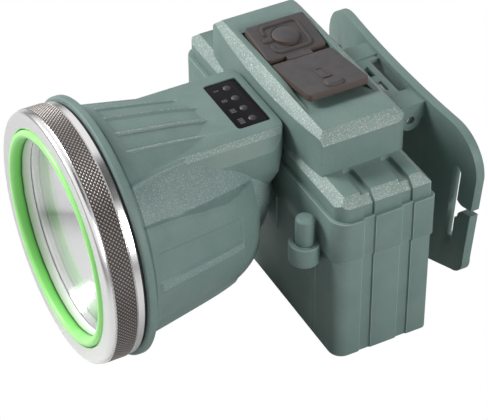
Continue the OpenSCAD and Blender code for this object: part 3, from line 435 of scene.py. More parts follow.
# Solder mask: a white lacquer over woven glass; machined aluminium: uneven, half dull
solder_mask = grained("White solder mask", "#EDEDE8", 0.35, 1.5, bump=(0.1, 0.03))
machined_aluminium = grained("Machined aluminium", "#B8BABB", 0.38, 0.7, metallic=1.0, detail=4.0,
                             gloss=(0.3, 0.5))
dress_nodes(lens=polycarbonate, bezel_seal=black_rubber, case_seal=black_rubber,
            lamp_led=yellow_phosphor, led_board=solder_mask, heat_sink=machined_aluminium)


# ---- Reflector ----
# Plastic cup with a coat of vacuum-laid aluminium. Its bowl is a parabola, spun here with enough
# steps that what it mirrors stays smooth.

cup_low, cup_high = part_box("reflector")
cup_depth = (cup_high.y - cup_low.y) / mm
cup_rim = (cup_high.x - cup_low.x) / 2 / mm
cup_wall, cup_throat = 1.2, 5.0
cup_steps = 40
cup_mouth = cup_rim - cup_wall
bowl = []
for i in range(cup_steps + 1):
    deep = cup_depth * i / cup_steps
    wide = math.sqrt(cup_throat ** 2 + (cup_mouth ** 2 - cup_throat ** 2) * deep / cup_depth)
    bowl.append((wide, cup_depth - deep))
outside = [(r + cup_wall, s) for r, s in reversed(bowl)]
cup = turned("reflector_cup", bowl + outside, cup_low.y, 160)
smooth(cup, 40)
# Vacuum-coated aluminium: a mirror with a faint, uneven haze
mirror_coat = grained("Vacuum-coated aluminium", "#F2E9EE", 0.12, 0.12, metallic=1.0, detail=3.0,
                      gloss=(0.09, 0.18))
dress(cup, mirror_coat)
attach(cup, "lamp")
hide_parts("reflector")


# ---- Lamp head ----
# Injection-moulded ABS bell: a flange, a barrel with recessed panels, a rib and petals, a fluted
# top and a flat-topped neck. Some faces of the mould are spark-eroded and leave a frosted skin.

seal_low, seal_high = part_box("bezel_seal")
window_low, window_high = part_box("indicator_window")
case_low, case_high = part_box("lower_case")
over = 1 * mm             # how far a cutter passes the faces that it cuts
slack = 1e-6              # allowed when places are compared, in metres
flange_t = 2.4
flange_r = (head_high.x - head_low.x) / 2 / mm
barrel_y = seal_high.y + flange_t * mm
barrel_r, barrel_taper, barrel_turn, barrel_len = 32.0, 6.53, 3.27, 36.2
spigot_r = 31.7
collar = 1.5              # plain stretch between the flange and the panels
flutes = (6.6, 18.6)      # angles of the crests on the barrel's top, from its middle
tube_r = 9.5
tube_end = (case_low.y - barrel_y) / mm
dome_r, dome_place, dome_lift = 22.5, 26.0, 3.0
neck_rise = 25.5
neck_half = 14.0


def curve(x, points):
    """Straight-line reading of y at x from a few (x, y) points."""
    if x <= points[0][0]:
        return points[0][1]
    for (x0, y0), (x1, y1) in zip(points, points[1:]):
        if x <= x1:
            return y0 + (y1 - y0) * (x - x0) / (x1 - x0)
    return points[-1][1]


def ramp(x, at, width):
    """0 below and 1 above a place, with a soft change of the given width."""
    t = min(max((x - at) / width + 0.5, 0), 1)
    return t * t * (3 - 2 * t)


def between(x, low, high, width):
    """1 between two places and 0 outside them, with soft changes."""
    return ramp(x, low, width) * (1 - ramp(x, high, width))


def petal_crease(s):
    """Angle of the petals' lower crease, s mm behind the flange."""
    return curve(s, [(1.6, 34.6), (12, 34.1), (19, 34.8), (25.5, 35.7), (31.3, 37.1), (37, 38.7)])


def valley_edge(s):
    """Angle of the lower edge of the valley under the petals."""
    edge = curve(s, [(12, 33), (17.6, 31.4), (26.8, 30.5), (30.5, 32.7), (34.2, 36.1)])
    return min(edge, petal_crease(s) - 1.4)


def fold_angle(s):
    """Angle of the fold along the petals' upper edge."""
    return curve(s, [(1.9, 53.5), (9, 57), (18.9, 60.2)])


def relief(angle, s):
    """Height of the moulding in mm at degrees above the horizontal and s mm behind the flange."""
    height = -0.4 * (1 - ramp(s, collar, 0.5))
    # The valley climbs to the petals' crease, and a low bead runs along its lower edge
    crease, edge = petal_crease(s), valley_edge(s)
    if edge < angle < crease + 0.4:
        depth = curve(s, [(1.5, 0.35), (12, 0.45), (18, 0.8), (27, 1.15), (33, 0.9), (37, 0.3)])
        height -= depth * min((angle - edge) / (crease - edge), 1) * (1 - ramp(angle, crease, 0.8))
    height += 0.2 * math.exp(-((angle - edge) / 1.3) ** 2) * between(s, 2, 34, 2)
    # Two sunk panels on each side, with a rib between them and another below
    panel_rows = between(s, 3.3, 29.3, 0.5)
    height -= 0.36 * panel_rows * (between(angle, 5.7, 19.5, 1.0) + between(angle, -34, -3.4, 1.0))
    height += 0.4 * between(angle, -1.0, 5.0, 1.0) * between(s, 3.0, 30, 0.9)
    height += 0.4 * between(angle, -42.5, -37, 1.0) * between(s, 3.0, 30, 0.9)
    # The fold between petal and top, then the sunk top with its crests
    height += 0.35 * math.exp(-((angle - fold_angle(s)) / 1.0) ** 2) * between(s, 1.6, 21, 1)
    from_top = 90 - angle
    height -= 0.45 * between(from_top, -2, 19.5, 1.2) * between(s, 4.6, 31, 1.6)
    for flute, end in zip(flutes, (31, 29)):
        height += 0.75 * math.exp(-((from_top - flute) / 0.8) ** 4) * between(s, 4.6, end, 1.6)
    return height


def barrel_outline(extra=0.0, rows=80):
    """The barrel's side from the flange back, extra mm further out."""
    points = []
    for i in range(rows + 1):
        t = i / rows
        points.append((barrel_r - barrel_taper * t - barrel_turn * t ** 8 + extra, barrel_len * t))
    return points


def up_angle(point):
    """Degrees of a point above the horizontal through the lamp axis, alike on both sides."""
    return math.degrees(math.atan2(point.z - axis_z, abs(point.x)))


def moulded_abs(name, dark, light, grain_mm, height_mm, glint_strength, roughness):
    """Sage green ABS. The mould's grain raises its skin, and pale specks are painted on its peaks,
    painted glints.
    """
    new, tree, shader = material(name, dark, roughness)
    place = node(tree, "ShaderNodeTexCoord").outputs["Object"]
    cloud = node(tree, "ShaderNodeTexNoise", {"Vector": place, "Scale": 1 / (9 * mm),
                                              "Detail": 3.0})
    shade = node(tree, "ShaderNodeValToRGB", {"Fac": cloud}, stops=((0.3, dark), (0.7, light)))
    grain = node(tree, "ShaderNodeTexNoise", {"Vector": place, "Scale": 1 / (grain_mm * mm),
                                              "Detail": 2.0, "Roughness": 0.6})
    # Pale specks painted on the grain's peaks: painted glints
    painted_glints = node(tree, "ShaderNodeMapRange", {"Value": grain, "From Min": 0.52, "From Max": 0.72,
                                             "To Min": 0.0, "To Max": glint_strength})
    colour = node(tree, "ShaderNodeMix", {0: painted_glints, 6: shade, 7: linear("#DDE6E2")},
                  data_type="RGBA").outputs[2]
    skin = node(tree, "ShaderNodeBump", {"Height": grain, "Strength": 0.6,
                                         "Distance": height_mm * mm})
    feed(shader, {"Base Color": colour, "Normal": skin, "Specular IOR Level": 0.28})
    return new


# ABS as the mould leaves it: satin where polished and matt where eroded, with pale specks painted
# on as glints; along its edges it is painted paler and shinier, a painted highlight
fine_abs = moulded_abs("ABS, fine moulded skin", "#738B86", "#7D928C", 0.22, 0.035, 0.12, 0.45)
matt_abs = moulded_abs("ABS, finely eroded skin", "#7B918E", "#859A96", 0.34, 0.08, 0.4, 0.45)
frosted_abs = moulded_abs("ABS, spark-eroded skin", "#899D98", "#93A69F", 0.38, 0.12, 0.8, 0.42)
edge_highlight_abs = moulded_abs("ABS, painted edge highlight", "#8AA099", "#97ACA5", 0.22, 0.02, 0.1, 0.4)
fine, frosted, matt = 0, 1, 2     # their places on the pieces of the head


def paint_edge_highlights(piece, index, strip=0.25):
    """Give the narrow strips along outward edges another finish, the painted edge highlight; strip
    is their width in mm.
    """
    shape = bmesh.new()
    shape.from_mesh(piece.data)
    for face in shape.faces:
        if face.calc_area() < strip * mm * max(edge.calc_length() for edge in face.edges):
            middle = face.calc_center_median()
            around = [other for edge in face.edges for other in edge.link_faces
                      if other is not face]
            rise = sum(face.normal.dot(other.calc_center_median() - middle) for other in around)
            if rise < -0.01 * mm:
                face.material_index = index
    shape.to_mesh(piece.data)
    shape.free()


spigot_back = (barrel_y - head_low.y) / mm
edge_r = 0.6
edge_centre = flange_r - edge_r
outline = [(0, -spigot_back), (spigot_r, -spigot_back), (spigot_r, -flange_t),
           (edge_centre, -flange_t)]
outline += arc((edge_centre, edge_r - flange_t), edge_r, -70, 0, 4)
outline += arc((edge_centre, -edge_r), edge_r, 0, 90, 5) + [(barrel_r + 0.6, 0)]
outline += barrel_outline()
outline += [(tube_r + 0.5, barrel_len), (tube_r, barrel_len + 0.5), (tube_r, tube_end),
            (0, tube_end)]
head = turned("head_moulding", outline, barrel_y, 600, closed=False)
dress(head, fine_abs, frosted_abs, matt_abs)
for vert in head.data.vertices:
    s = (vert.co.y - barrel_y) / mm
    radius = off_axis(vert.co)
    if 0 <= s < barrel_len + 0.01 and (tube_r + 5) * mm < radius < (barrel_r + 0.1) * mm:
        swell(vert.co, 1 + relief(up_angle(vert.co), s) * mm / radius)
# The thin strips on the flutes' crests get the paler frosted finish: a painted highlight along each
# crest
for face in head.data.polygons:
    s = (face.center.y - barrel_y) / mm
    angle = up_angle(face.center)
    petal = s > collar and petal_crease(s) + 0.3 < angle < fold_angle(s) - 0.8
    crest = min(abs(90 - angle - flute) for flute in flutes) < 0.7 and 4.6 < s < 31
    rib = 0.2 < angle < 4.2 and 3.4 < s < 29.5
    face.material_index = frosted if crest else matt if petal or rib else fine


def extruded(name, outline, plane, start, end):
    """A solid from a flat outline in mm, in the XZ or XY plane, pulled from start to end (m)."""
    if plane == "XZ":
        points = [(a * mm, start, b * mm) for a, b in outline]
        pull = (0, end - start, 0)
    else:
        points = [(a * mm, b * mm, start) for a, b in outline]
        pull = (0, 0, end - start)
    piece = drawn(name, points, [], [list(range(len(points)))])
    bpy.ops.mesh.extrude_region_move(TRANSFORM_OT_translate={"value": pull})
    face_outwards()
    return piece


def both_sides(outline):
    """An outline together with its mirror image across the middle plane."""
    return outline + [(-x, other) for x, other in reversed(outline)]


def apply(piece, kind, **settings):
    """Add a modifier with its settings and apply it."""
    alone(piece)
    modifier = piece.modifiers.new(kind.lower(), kind)
    for name, value in settings.items():
        setattr(modifier, name, value)
    bpy.ops.object.modifier_apply(modifier=modifier.name)


def combine(piece, other, operation):
    """Unite, intersect or cut a piece with another; the other is used up."""
    apply(piece, "BOOLEAN", object=other, operation=operation, solver="MANIFOLD")
    bpy.data.objects.remove(other)


def cut(piece, tool):
    """Cut a tool out of a piece."""
    combine(piece, tool, "DIFFERENCE")


def weld(piece, other):
    """Make another piece part of a piece."""
    combine(piece, other, "UNION")


def soften(piece, width, steps=2, degrees=30, clamp=True):
    """Clear flat faces of needless edges, then round every edge sharper than the angle; width in
    mm. With clamp, short edges hold the rounding back, so that no two roundings cross."""
    edit_all(piece)
    bpy.ops.mesh.remove_doubles(threshold=0.02 * mm)
    bpy.ops.mesh.dissolve_limited(angle_limit=math.radians(0.5))
    bpy.ops.object.mode_set(mode="OBJECT")
    apply(piece, "BEVEL", width=width * mm, segments=steps, limit_method="ANGLE",
          angle_limit=math.radians(degrees), use_clamp_overlap=clamp)


def round_edges(piece, width, steps, test):
    """Bevel the edges whose two ends, in metres, pass the test; width in mm."""
    alone(piece)
    bpy.ops.object.mode_set(mode="EDIT")
    bpy.ops.mesh.select_mode(type="EDGE")
    bpy.ops.mesh.select_all(action="DESELECT")
    shape = bmesh.from_edit_mesh(piece.data)
    for edge in shape.edges:
        edge.select_set(test(edge.verts[0].co, edge.verts[1].co))
    bmesh.update_edit_mesh(piece.data)
    bpy.ops.mesh.bevel(offset=width * mm, offset_type="OFFSET", segments=steps, affect="EDGES")
    bpy.ops.object.mode_set(mode="OBJECT")


def upright(a, b):
    """True for an edge that runs along Z."""
    return abs(a.x - b.x) < slack and abs(a.y - b.y) < slack


def on_top(z):
    """A test for the edges at a height or above it."""
    return lambda a, b: min(a.z, b.z) > z - slack


def at_foot(z):
    """A test for the edges at a height or below it."""
    return lambda a, b: max(a.z, b.z) < z + slack


def settled(name):
    """The primitive just added, named, and with its place moved into its mesh."""
    piece = bpy.context.object
    piece.name = name
    bpy.ops.object.transform_apply(location=True, rotation=True, scale=True)
    return piece


def block(name, low, high):
    """A box between two corners in metres."""
    low, high = Vector(low), Vector(high)
    bpy.ops.mesh.primitive_cube_add(size=1, location=(low + high) / 2, scale=high - low)
    return settled(name)


def ball(name, centre, radius, segments, height=1.0, lean=0):
    """A ball with its height scaled, and its poles leaned forward by an angle in degrees."""
    bpy.ops.mesh.primitive_uv_sphere_add(segments=segments, ring_count=segments // 2,
                                         radius=radius, location=centre, scale=(1, 1, height),
                                         rotation=(math.radians(lean), 0, 0))
    return settled(name)


neck_y = barrel_y + 14 * mm          # the neck begins inside the barrel
neck_top = axis_z / mm + neck_rise
neck_edge = 1.5
neck_wide = neck_half + 3.4
neck_side_r = 24
neck_corner = 6.0
neck_side = arc((neck_wide - neck_side_r, neck_top - 6.5), neck_side_r, -45, 0, 12)
neck_side += [(neck_wide, neck_top - 5), (neck_half + neck_edge, neck_top - neck_edge),
              (neck_half, neck_top)]
neck = extruded("neck", both_sides(neck_side), "XZ", neck_y, head_high.y)
rear = [(neck_wide, neck_y / mm)]
rear += arc((neck_wide - neck_corner, head_high.y / mm - neck_corner), neck_corner, 0, 90, 10)
combine(neck, extruded("neck_plan", both_sides(rear), "XY", 0, neck_top * mm + over), "INTERSECT")
# Underneath, the neck slopes forward to the barrel's rear edge
slope_top = Vector((0, head_high.y, axis_z + (neck_rise - 4) * mm))
slope_low = Vector((0, barrel_y + (barrel_len + 7) * mm, axis_z + 9 * mm))
slope = (slope_top - slope_low).normalized()
edit_all(neck)
bpy.ops.mesh.bisect(plane_co=slope_low, plane_no=(0, slope.z, -slope.y), use_fill=True,
                    clear_outer=True)
face_outwards()
soften(neck, 0.35, 3, 25)
dress(neck, fine_abs, frosted_abs, matt_abs)
for face in neck.data.polygons:
    bevelled = 0.6 < face.normal.z < 0.8 and abs(face.normal.x) > 0.3
    if bevelled and face.center.z > axis_z + 20 * mm:
        face.material_index = frosted

# The inside: room for lens, reflector and heat sink, the bore of the tube and the window's pocket
room_r, room_wall, room_back = 29.4, 2.2, barrel_len - 2.4
inner = [(0, -spigot_back - 1), (room_r, -spigot_back - 1), (room_r, 0)]
inner += [(r, s) for r, s in barrel_outline(-room_wall, 8)[1:] if s < barrel_len - 3]
inner += [(20, room_back), (0, room_back)]
hollow = turned("hollow", inner, barrel_y, 96, closed=False)
tube_bore = 4.5
bore_start, bore_end = barrel_len - 4, barrel_len + 14
bore = turned("bore", [(0, bore_start), (tube_bore, bore_start), (tube_bore, bore_end),
                       (0, bore_end)], barrel_y, 48, closed=False)
# The ball behind the barrel's rear edge
dome_centre = Vector((0, barrel_y + dome_place * mm, axis_z + dome_lift * mm))
reach = dome_r * mm
dome = ball("dome", dome_centre, reach, 128, lean=90)
combine(dome, block("dome_room", (-reach, dome_centre.y + 2 * mm, dome_centre.z - reach),
                    (reach, case_low.y, dome_centre.z + reach)), "INTERSECT")
dress(dome, fine_abs, frosted_abs, matt_abs)
for face in dome.data.polygons:
    face.material_index = matt
fit = 0.1 * mm
pocket = block("pocket", (window_low.x - fit, window_low.y - fit, window_low.z),
               (window_high.x + fit, window_high.y + fit, head_high.z + 2 * mm))
window_corner = 1.0
round_edges(pocket, window_corner, 5, upright)
weld(head, dome)
weld(head, neck)
for tool in (hollow, bore, pocket):
    cut(head, tool)
smooth(head, 32)
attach(head, "lamp")
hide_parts("head_shell")


# ---- Indicator window ----
# Smoked acrylic plate let into the neck, with a moulded lens bump over each of its four diodes and
# plain level bars, one more for each diode, printed in grey.

def speckled(name, dark, light, roughness, scale_mm, metallic=0.0):
    """A finish whose colour drifts between two tones over a scale in mm, with uneven gloss."""
    new, tree, shader = material(name, dark, roughness, metallic)
    place = node(tree, "ShaderNodeTexCoord").outputs["Object"]
    drift = node(tree, "ShaderNodeTexNoise", {"Vector": place, "Scale": 1 / (scale_mm * mm),
                                              "Detail": 3.0})
    shade = node(tree, "ShaderNodeValToRGB", {"Fac": drift}, stops=((0.35, dark), (0.65, light)))
    gloss = node(tree, "ShaderNodeMapRange", {"Value": drift, "To Min": roughness - 0.08,
                                              "To Max": roughness + 0.08})
    feed(shader, {"Base Color": shade, "Roughness": gloss})
    return new


window = block("window_plate", window_low, window_high)
window_top = window_high.z
round_edges(window, window_corner, 5, upright)
soften(window, 0.15, 2, 50)
window_x = (window_low.x + window_high.x) / 2
window_y = (window_low.y + window_high.y) / 2
diode_pitch, diode_r = 4.87 * mm, 1.35 * mm
diode_y = window_y + 0.9 * mm
diode_sunk, diode_flat = 0.5 * mm, 0.7
for i in range(4):
    centre = Vector((window_x + (i - 1.5) * diode_pitch, diode_y, window_top - diode_sunk))
    weld(window, ball("diode_lens", centre, diode_r, 32, height=diode_flat))
smooth(window, 30)
# Smoked acrylic: nearly black and glossy, hazier where the lens bumps scatter the light
hazy = speckled("Smoked acrylic over a diode", "#29272B", "#3D3B3F", 0.45, 0.5)
smoked = grained("Smoked acrylic", "#151417", 0.22, 2.2, gloss=(0.14, 0.3))
feed(smoked.node_tree.nodes["Principled BSDF"], {"Specular IOR Level": 0.08})
dress(window, smoked, hazy)
for face in window.data.polygons:
    if face.center.z > window_top + 0.02 * mm:
        face.material_index = 1
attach(window, "lamp")
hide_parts("indicator_window")


def joined(pieces):
    """Several pieces made into the first of them."""
    alone(pieces[0])
    for piece in pieces[1:]:
        piece.select_set(True)
    bpy.ops.object.join()
    return pieces[0]


# Screen-printing ink: a dull grey, thin enough that the dark plate shows through in specks
grey_ink, tree, shader = material("Grey printing ink", "#7E7A80", 0.6)
place = node(tree, "ShaderNodeTexCoord").outputs["Object"]
speck = node(tree, "ShaderNodeTexNoise", {"Vector": place, "Scale": 5 / mm})
tone = node(tree, "ShaderNodeValToRGB", {"Fac": speck}, stops=((0, "#3F3D42"), (1, "#6B686E")))
feed(shader, {"Base Color": tone})
bar_pitch = 0.62 * mm
bar_half = Vector((0.17, 0.75, 0.03)) * mm
bars = []
for i in range(4):
    for k in range(i + 1):
        middle = Vector((window_x + (i - 1.5) * diode_pitch + (k - i / 2) * bar_pitch,
                         window_y - 2.3 * mm, window_top))
        bars.append(block("level_bars", middle - bar_half, middle + bar_half))
marks = joined(bars)
dress(marks, grey_ink)
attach(marks, "lamp")


# ---- Lower case ----
# Injection-moulded ABS cup over the cells, with two sunk channels down each end, a rib under the
# post's ring and a pad that the head's tube is screwed against.

seat_low, seat_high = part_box("case_seal")
seal_inset = 1.25 * mm
wall_x = seat_high.x + seal_inset
wall_front = seat_low.y - seal_inset
wall_back = seat_high.y + seal_inset
wall_t = 2.0 * mm
corner_r, back_corner_r = 4.0, 1.0
channel_w, channel_depth = 3.2 * mm, 0.7 * mm
channel_starts = (wall_front + 7.5 * mm, wall_front + 18.8 * mm)
screw_low, screw_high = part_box("case_screws")
screw_head_r = 2.3 * mm
screw_places = [(x, y) for x in (screw_low.x + screw_head_r, screw_high.x - screw_head_r)
                for y in (screw_low.y + screw_head_r, screw_high.y - screw_head_r)]
pillar_r = 2.6 * mm
case_hole_r, band_hole_r = 1.35 * mm, 1.3 * mm
post_low, post_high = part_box("lock_post")
post_x = (post_low.x + post_high.x) / 2


def slab(name, grow, low_z, high_z):
    """An upright block round the cells, standing out by grow (m), rounder in front than behind."""
    piece = block(name, (-wall_x - grow, wall_front - grow, low_z),
                  (wall_x + grow, wall_back + grow, high_z))
    front = wall_front + 5 * mm
    front_r = max(corner_r + grow / mm, 0.5)
    back_r = max(back_corner_r + grow / mm, 0.5)
    round_edges(piece, front_r, 8, lambda a, b: upright(a, b) and a.y < front)
    round_edges(piece, back_r, 4, lambda a, b: upright(a, b) and a.y > front)
    return piece


def rod(name, start, end, radius, sides=32):
    """A round rod between two points in metres."""
    start, end = Vector(start), Vector(end)
    lay = (end - start).to_track_quat("Z", "Y").to_euler()
    bpy.ops.mesh.primitive_cylinder_add(vertices=sides, radius=radius, rotation=lay,
                                        depth=(end - start).length, location=(start + end) / 2)
    return settled(name)


def peg(name, x, y, low_z, high_z, radius, sides=32):
    """An upright rod."""
    return rod(name, (x, y, low_z), (x, y, high_z), radius, sides)


def span(side, inner, outer):
    """Two distances from the middle plane, on one side of it, as a lower and a higher x."""
    return sorted((side * inner, side * outer))


def cut_channels(piece, grow, low_z, high_z):
    """Sink the two channels into both ends of a wall that stands out by grow."""
    for side in (-1, 1):
        low_x, high_x = span(side, wall_x + grow - channel_depth, wall_x + 5 * mm)
        for start in channel_starts:
            cut(piece, block("channel", (low_x, start, low_z),
                             (high_x, start + channel_w, high_z)))


case = slab("case_moulding", 0, case_low.z, case_high.z)
round_edges(case, 1.0, 4, at_foot(case_low.z))
tube_pad = (tube_r + 2) * mm
weld(case, block("tube_pad", (-tube_pad, case_low.y, axis_z - tube_pad),
                 (tube_pad, wall_front + wall_t, case_high.z)))
cut(case, slab("case_room", -wall_t, case_low.z + wall_t, case_high.z + 5 * mm))
for x, y in screw_places:
    weld(case, peg("pillar", x, y, case_low.z, case_high.z, pillar_r))
rib = block("rib", (post_x - 3.2 * mm, wall_front - 0.6 * mm, case_low.z + 2 * mm),
            (post_x - 0.8 * mm, wall_front + wall_t, post_low.z - 1.0 * mm))
round_edges(rib, 0.9, 4, lambda a, b: max(a.y, b.y) < wall_front)
weld(case, rib)
cut_channels(case, 0, case_low.z - over, case_high.z + over)
for x, y in screw_places:
    cut(case, peg("screw_hole", x, y, case_low.z - over, case_high.z + over, case_hole_r, 24))
soften(case, 0.25, 2, 40, clamp=False)
smooth(case, 30)
dress(case, fine_abs, edge_highlight_abs)
# The narrow strips along the edges are painted paler and shinier: a painted highlight
paint_edge_highlights(case, 1)
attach(case, "lamp")
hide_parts("lower_case")


# ---- Band ----
# Moulded ABS frame between case and cap. It stands out from both, and carries the ring that holds
# the lock post and, behind, the two knuckles of the tilting hinge.

post_r = (post_high.x - post_low.x) / 2
post_y = (post_low.y + post_high.y) / 2
pin_low, pin_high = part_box("hinge_pin")
hinge_y = (pin_low.y + pin_high.y) / 2
hinge_z = (pin_low.z + pin_high.z) / 2
band_low, band_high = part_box("band")
band_proud = band_high.x - wall_x
cap_low, cap_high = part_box("upper_housing")
frame_low, frame_high = case_high.z, cap_low.z


def on_hinge(name, start_x, end_x, radius, sides=48):
    """A rod on the hinge's axis."""
    return rod(name, (start_x, hinge_y, hinge_z), (end_x, hinge_y, hinge_z), radius, sides)


band = slab("band_moulding", band_proud, frame_low, frame_high)
cut(band, slab("band_room", -wall_t, frame_low - 5 * mm, frame_high + 5 * mm))
for x, y in screw_places:
    weld(band, peg("pillar", x, y, frame_low, frame_high, pillar_r))
ring_outer_r, ring_h = 4.25 * mm, 6.0 * mm
ring = peg("ring", post_x, post_y, band_low.z, band_low.z + ring_h, ring_outer_r, 48)
# Below the band the ring keeps clear of the case
cut(ring, block("clearance", (post_x - 8 * mm, wall_front - 0.3 * mm, band_low.z - over),
                (post_x + 8 * mm, wall_front + 8 * mm, frame_low)))
weld(band, ring)
knuckle_r = 3.2 * mm
knuckle_in, knuckle_out = 9.3 * mm, 12.6 * mm
for side in (-1, 1):
    low_x, high_x = span(side, knuckle_in, knuckle_out)
    weld(band, on_hinge("knuckle", low_x, high_x, knuckle_r))
    weld(band, block("web", (low_x, wall_back - wall_t, hinge_z - knuckle_r),
                     (high_x, hinge_y, hinge_z - 1.4 * mm)))
cut_channels(band, band_proud, frame_low - over, frame_high + over)
for x, y in screw_places:
    cut(band, peg("screw_hole", x, y, frame_low - over, frame_high + over, band_hole_r, 24))
cut(band, peg("post_bore", post_x, post_y, band_low.z - over, band_low.z + 9 * mm,
              post_r + 0.1 * mm, 48))
cut(band, on_hinge("pin_bore", -20 * mm, 20 * mm, 1.33 * mm, 32))
lead_r = 3.5 * mm
lead_z = frame_low + lead_r + 1 * mm
cut(band, rod("lead_hole", (0, wall_front - 3 * mm, lead_z), (0, wall_front + 4 * mm, lead_z),
              lead_r))
soften(band, 0.25, 2, 40, clamp=False)
smooth(band, 30)
dress(band, fine_abs, edge_highlight_abs)
# The narrow strips along the edges are painted paler and shinier: a painted highlight
paint_edge_highlights(band, 1)
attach(band, "lamp")
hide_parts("band")


# ---- Cap and hump ----
# One ABS moulding that closes the block: a bevelled cap and, on it, the hump over the controls with
# a sunk bed for the rubber cover. The bevels are spark-eroded, the other faces are fine.

cap_inset = 0.5 * mm
cap_top = cap_low.z + 6.6 * mm
cap_bevel = 2.5
hump_front, hump_back = wall_front + 0.9 * mm, cap_high.y
hump_half = 30.75
hump_bevel = 2.9
hump_corner = 4.0
hump_bow = 1.5            # how far the hump's front bulges
cap = block("cap_moulding", (cap_low.x, wall_front + cap_inset, cap_low.z),
            (cap_high.x, wall_back - cap_inset, cap_top))
round_edges(cap, cap_bevel, 1, on_top(cap_top))
combine(cap, slab("cap_plan", -cap_inset, cap_low.z - over, cap_top + over), "INTERSECT")
cap_room = slab("cap_room", -cap_inset - wall_t, cap_low.z - over, cap_top - 2.2 * mm)
hump = block("hump", (-hump_half * mm, hump_front, cap_top - over),
             (hump_half * mm, hump_back, cap_high.z))
round_edges(hump, hump_bevel, 1, on_top(cap_high.z))
bow_r = (hump_half ** 2 + hump_bow ** 2) / (2 * hump_bow)
half_turn = math.degrees(math.asin(hump_half / bow_r))
back_corner = hump_back / mm - hump_corner
plan = arc((0, hump_front / mm + bow_r), bow_r, -90 - half_turn, -90 + half_turn, 24)
plan += arc((hump_half - hump_corner, back_corner), hump_corner, 0, 90, 10)
plan += arc((hump_corner - hump_half, back_corner), hump_corner, 90, 180, 10)
combine(hump, extruded("hump_plan", plan, "XY", cap_top - 2 * mm, cap_high.z + over), "INTERSECT")
weld(cap, hump)
cut(cap, cap_room)
pad_low, pad_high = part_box("switch_pad")
flap_low, flap_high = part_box("usb_flap")
bed_z = cap_high.z - 2.3 * mm
ceiling_z = bed_z - 2.3 * mm
cut(cap, block("hump_room", ((2 - hump_half) * mm, hump_front + 3.5 * mm, cap_low.z),
               ((hump_half - 2) * mm, hump_back - 2 * mm, ceiling_z)))
# The bed for the cover, and a dish round its right end for a fingertip
cover_y = (flap_low.y + flap_high.y) / 2
bed_gap, dish_depth, dish_wide = 0.5 * mm, 0.9, 1.6 * mm
bed_half = (flap_high.y - flap_low.y) / 2 + bed_gap
dish_half = bed_half + dish_wide
bed_start, bed_end = pad_low.x / mm - 0.4, flap_high.x / mm + 3.5
top = cap_high.z / mm
bed_side = [(bed_start, top + 1), (bed_start, bed_z / mm), (bed_end - 7.3, bed_z / mm),
            (bed_end, top), (bed_end, top + 1)]
cut(cap, extruded("bed", bed_side, "XZ", cover_y - bed_half, cover_y + bed_half))
dish_side = [(bed_end - 15, top + 1), (bed_end - 15, top), (bed_end - 9, top - dish_depth),
             (bed_end - 3, top - dish_depth), (bed_end, top), (bed_end, top + 1)]
cut(cap, extruded("dish", dish_side, "XZ", cover_y - dish_half, cover_y + dish_half))
# The channels run on up the cap's ends and over its bevel, to round ends beside the hump
channel_top = cap_top / mm - 1.3
channel_out = cap_high.x / mm
deep = channel_out - channel_depth / mm
corner = cap_bevel - 0.293 * (1.3 + channel_depth / mm)
end_r = channel_w / mm / 2
channel_side = [(deep, cap_low.z / mm - 1), (deep, channel_top - corner),
                (deep - corner, channel_top), (hump_half, channel_top),
                (hump_half, channel_top + 3), (channel_out + 2, channel_top + 3),
                (channel_out + 2, cap_low.z / mm - 1)]
for start in channel_starts:
    plan = arc((hump_half + 0.1 + end_r, start / mm + end_r), end_r, 270, 90, 12)
    plan += [(channel_out + 3, start / mm + 2 * end_r), (channel_out + 3, start / mm)]
    for side in (-1, 1):
        tool = extruded("channel", [(side * x, z) for x, z in channel_side], "XZ", start,
                        start + channel_w)
        combine(tool, extruded("channel_plan", [(side * x, y) for x, y in plan], "XY",
                               cap_low.z - 2 * mm, cap_top + 4 * mm), "INTERSECT")
        cut(cap, tool)
soften(cap, 0.3, 2, 25)
smooth(cap, 25)
dress(cap, fine_abs, frosted_abs, edge_highlight_abs)
# The narrow strips along the edges are painted paler and shinier: a painted highlight
paint_edge_highlights(cap, 2)
least_bevel = 1.5e-6      # square metres; smaller faces are edges' roundings
for face in cap.data.polygons:
    if 0.25 < face.normal.z < 0.93 and face.area > least_bevel:
        face.material_index = frosted
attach(cap, "lamp")
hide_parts("upper_housing")


# ---- Forehead bracket ----
# Moulded ABS plate with a broad wing at either side for the head strap, a shelf over the hinge with
# the top strap's slot, and two cheeks that the pin is pressed into.

plate_low, plate_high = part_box("bracket")
plate_t, plate_sag = 2.5, 2.1
half_w = plate_high.x / mm
plate_r = (half_w ** 2 + plate_sag ** 2) / (2 * plate_sag)
plate_back = plate_high.y / mm - plate_sag
plate_front = plate_back - plate_t
wing_r, hook_r = 12.0, 5.5
top_z, low_z = plate_high.z / mm, plate_low.z / mm
right_edge = arc((half_w - wing_r, top_z - wing_r), wing_r, 90, 0, 14)
right_edge += arc((half_w - hook_r - 3.1, low_z + 10.3), hook_r, 8, -80, 10)
right_edge += [(half_w - 21, low_z)]
bracket = extruded("bracket_moulding", both_sides(right_edge), "XZ",
                   (plate_front - 1) * mm, plate_high.y + over)


def swung(outline, angle, x, z):
    """An outline turned about its origin by an angle in degrees, then moved by x and z."""
    cosine, sine = math.cos(math.radians(angle)), math.sin(math.radians(angle))
    return [(x + a * cosine - b * sine, z + a * sine + b * cosine) for a, b in outline]


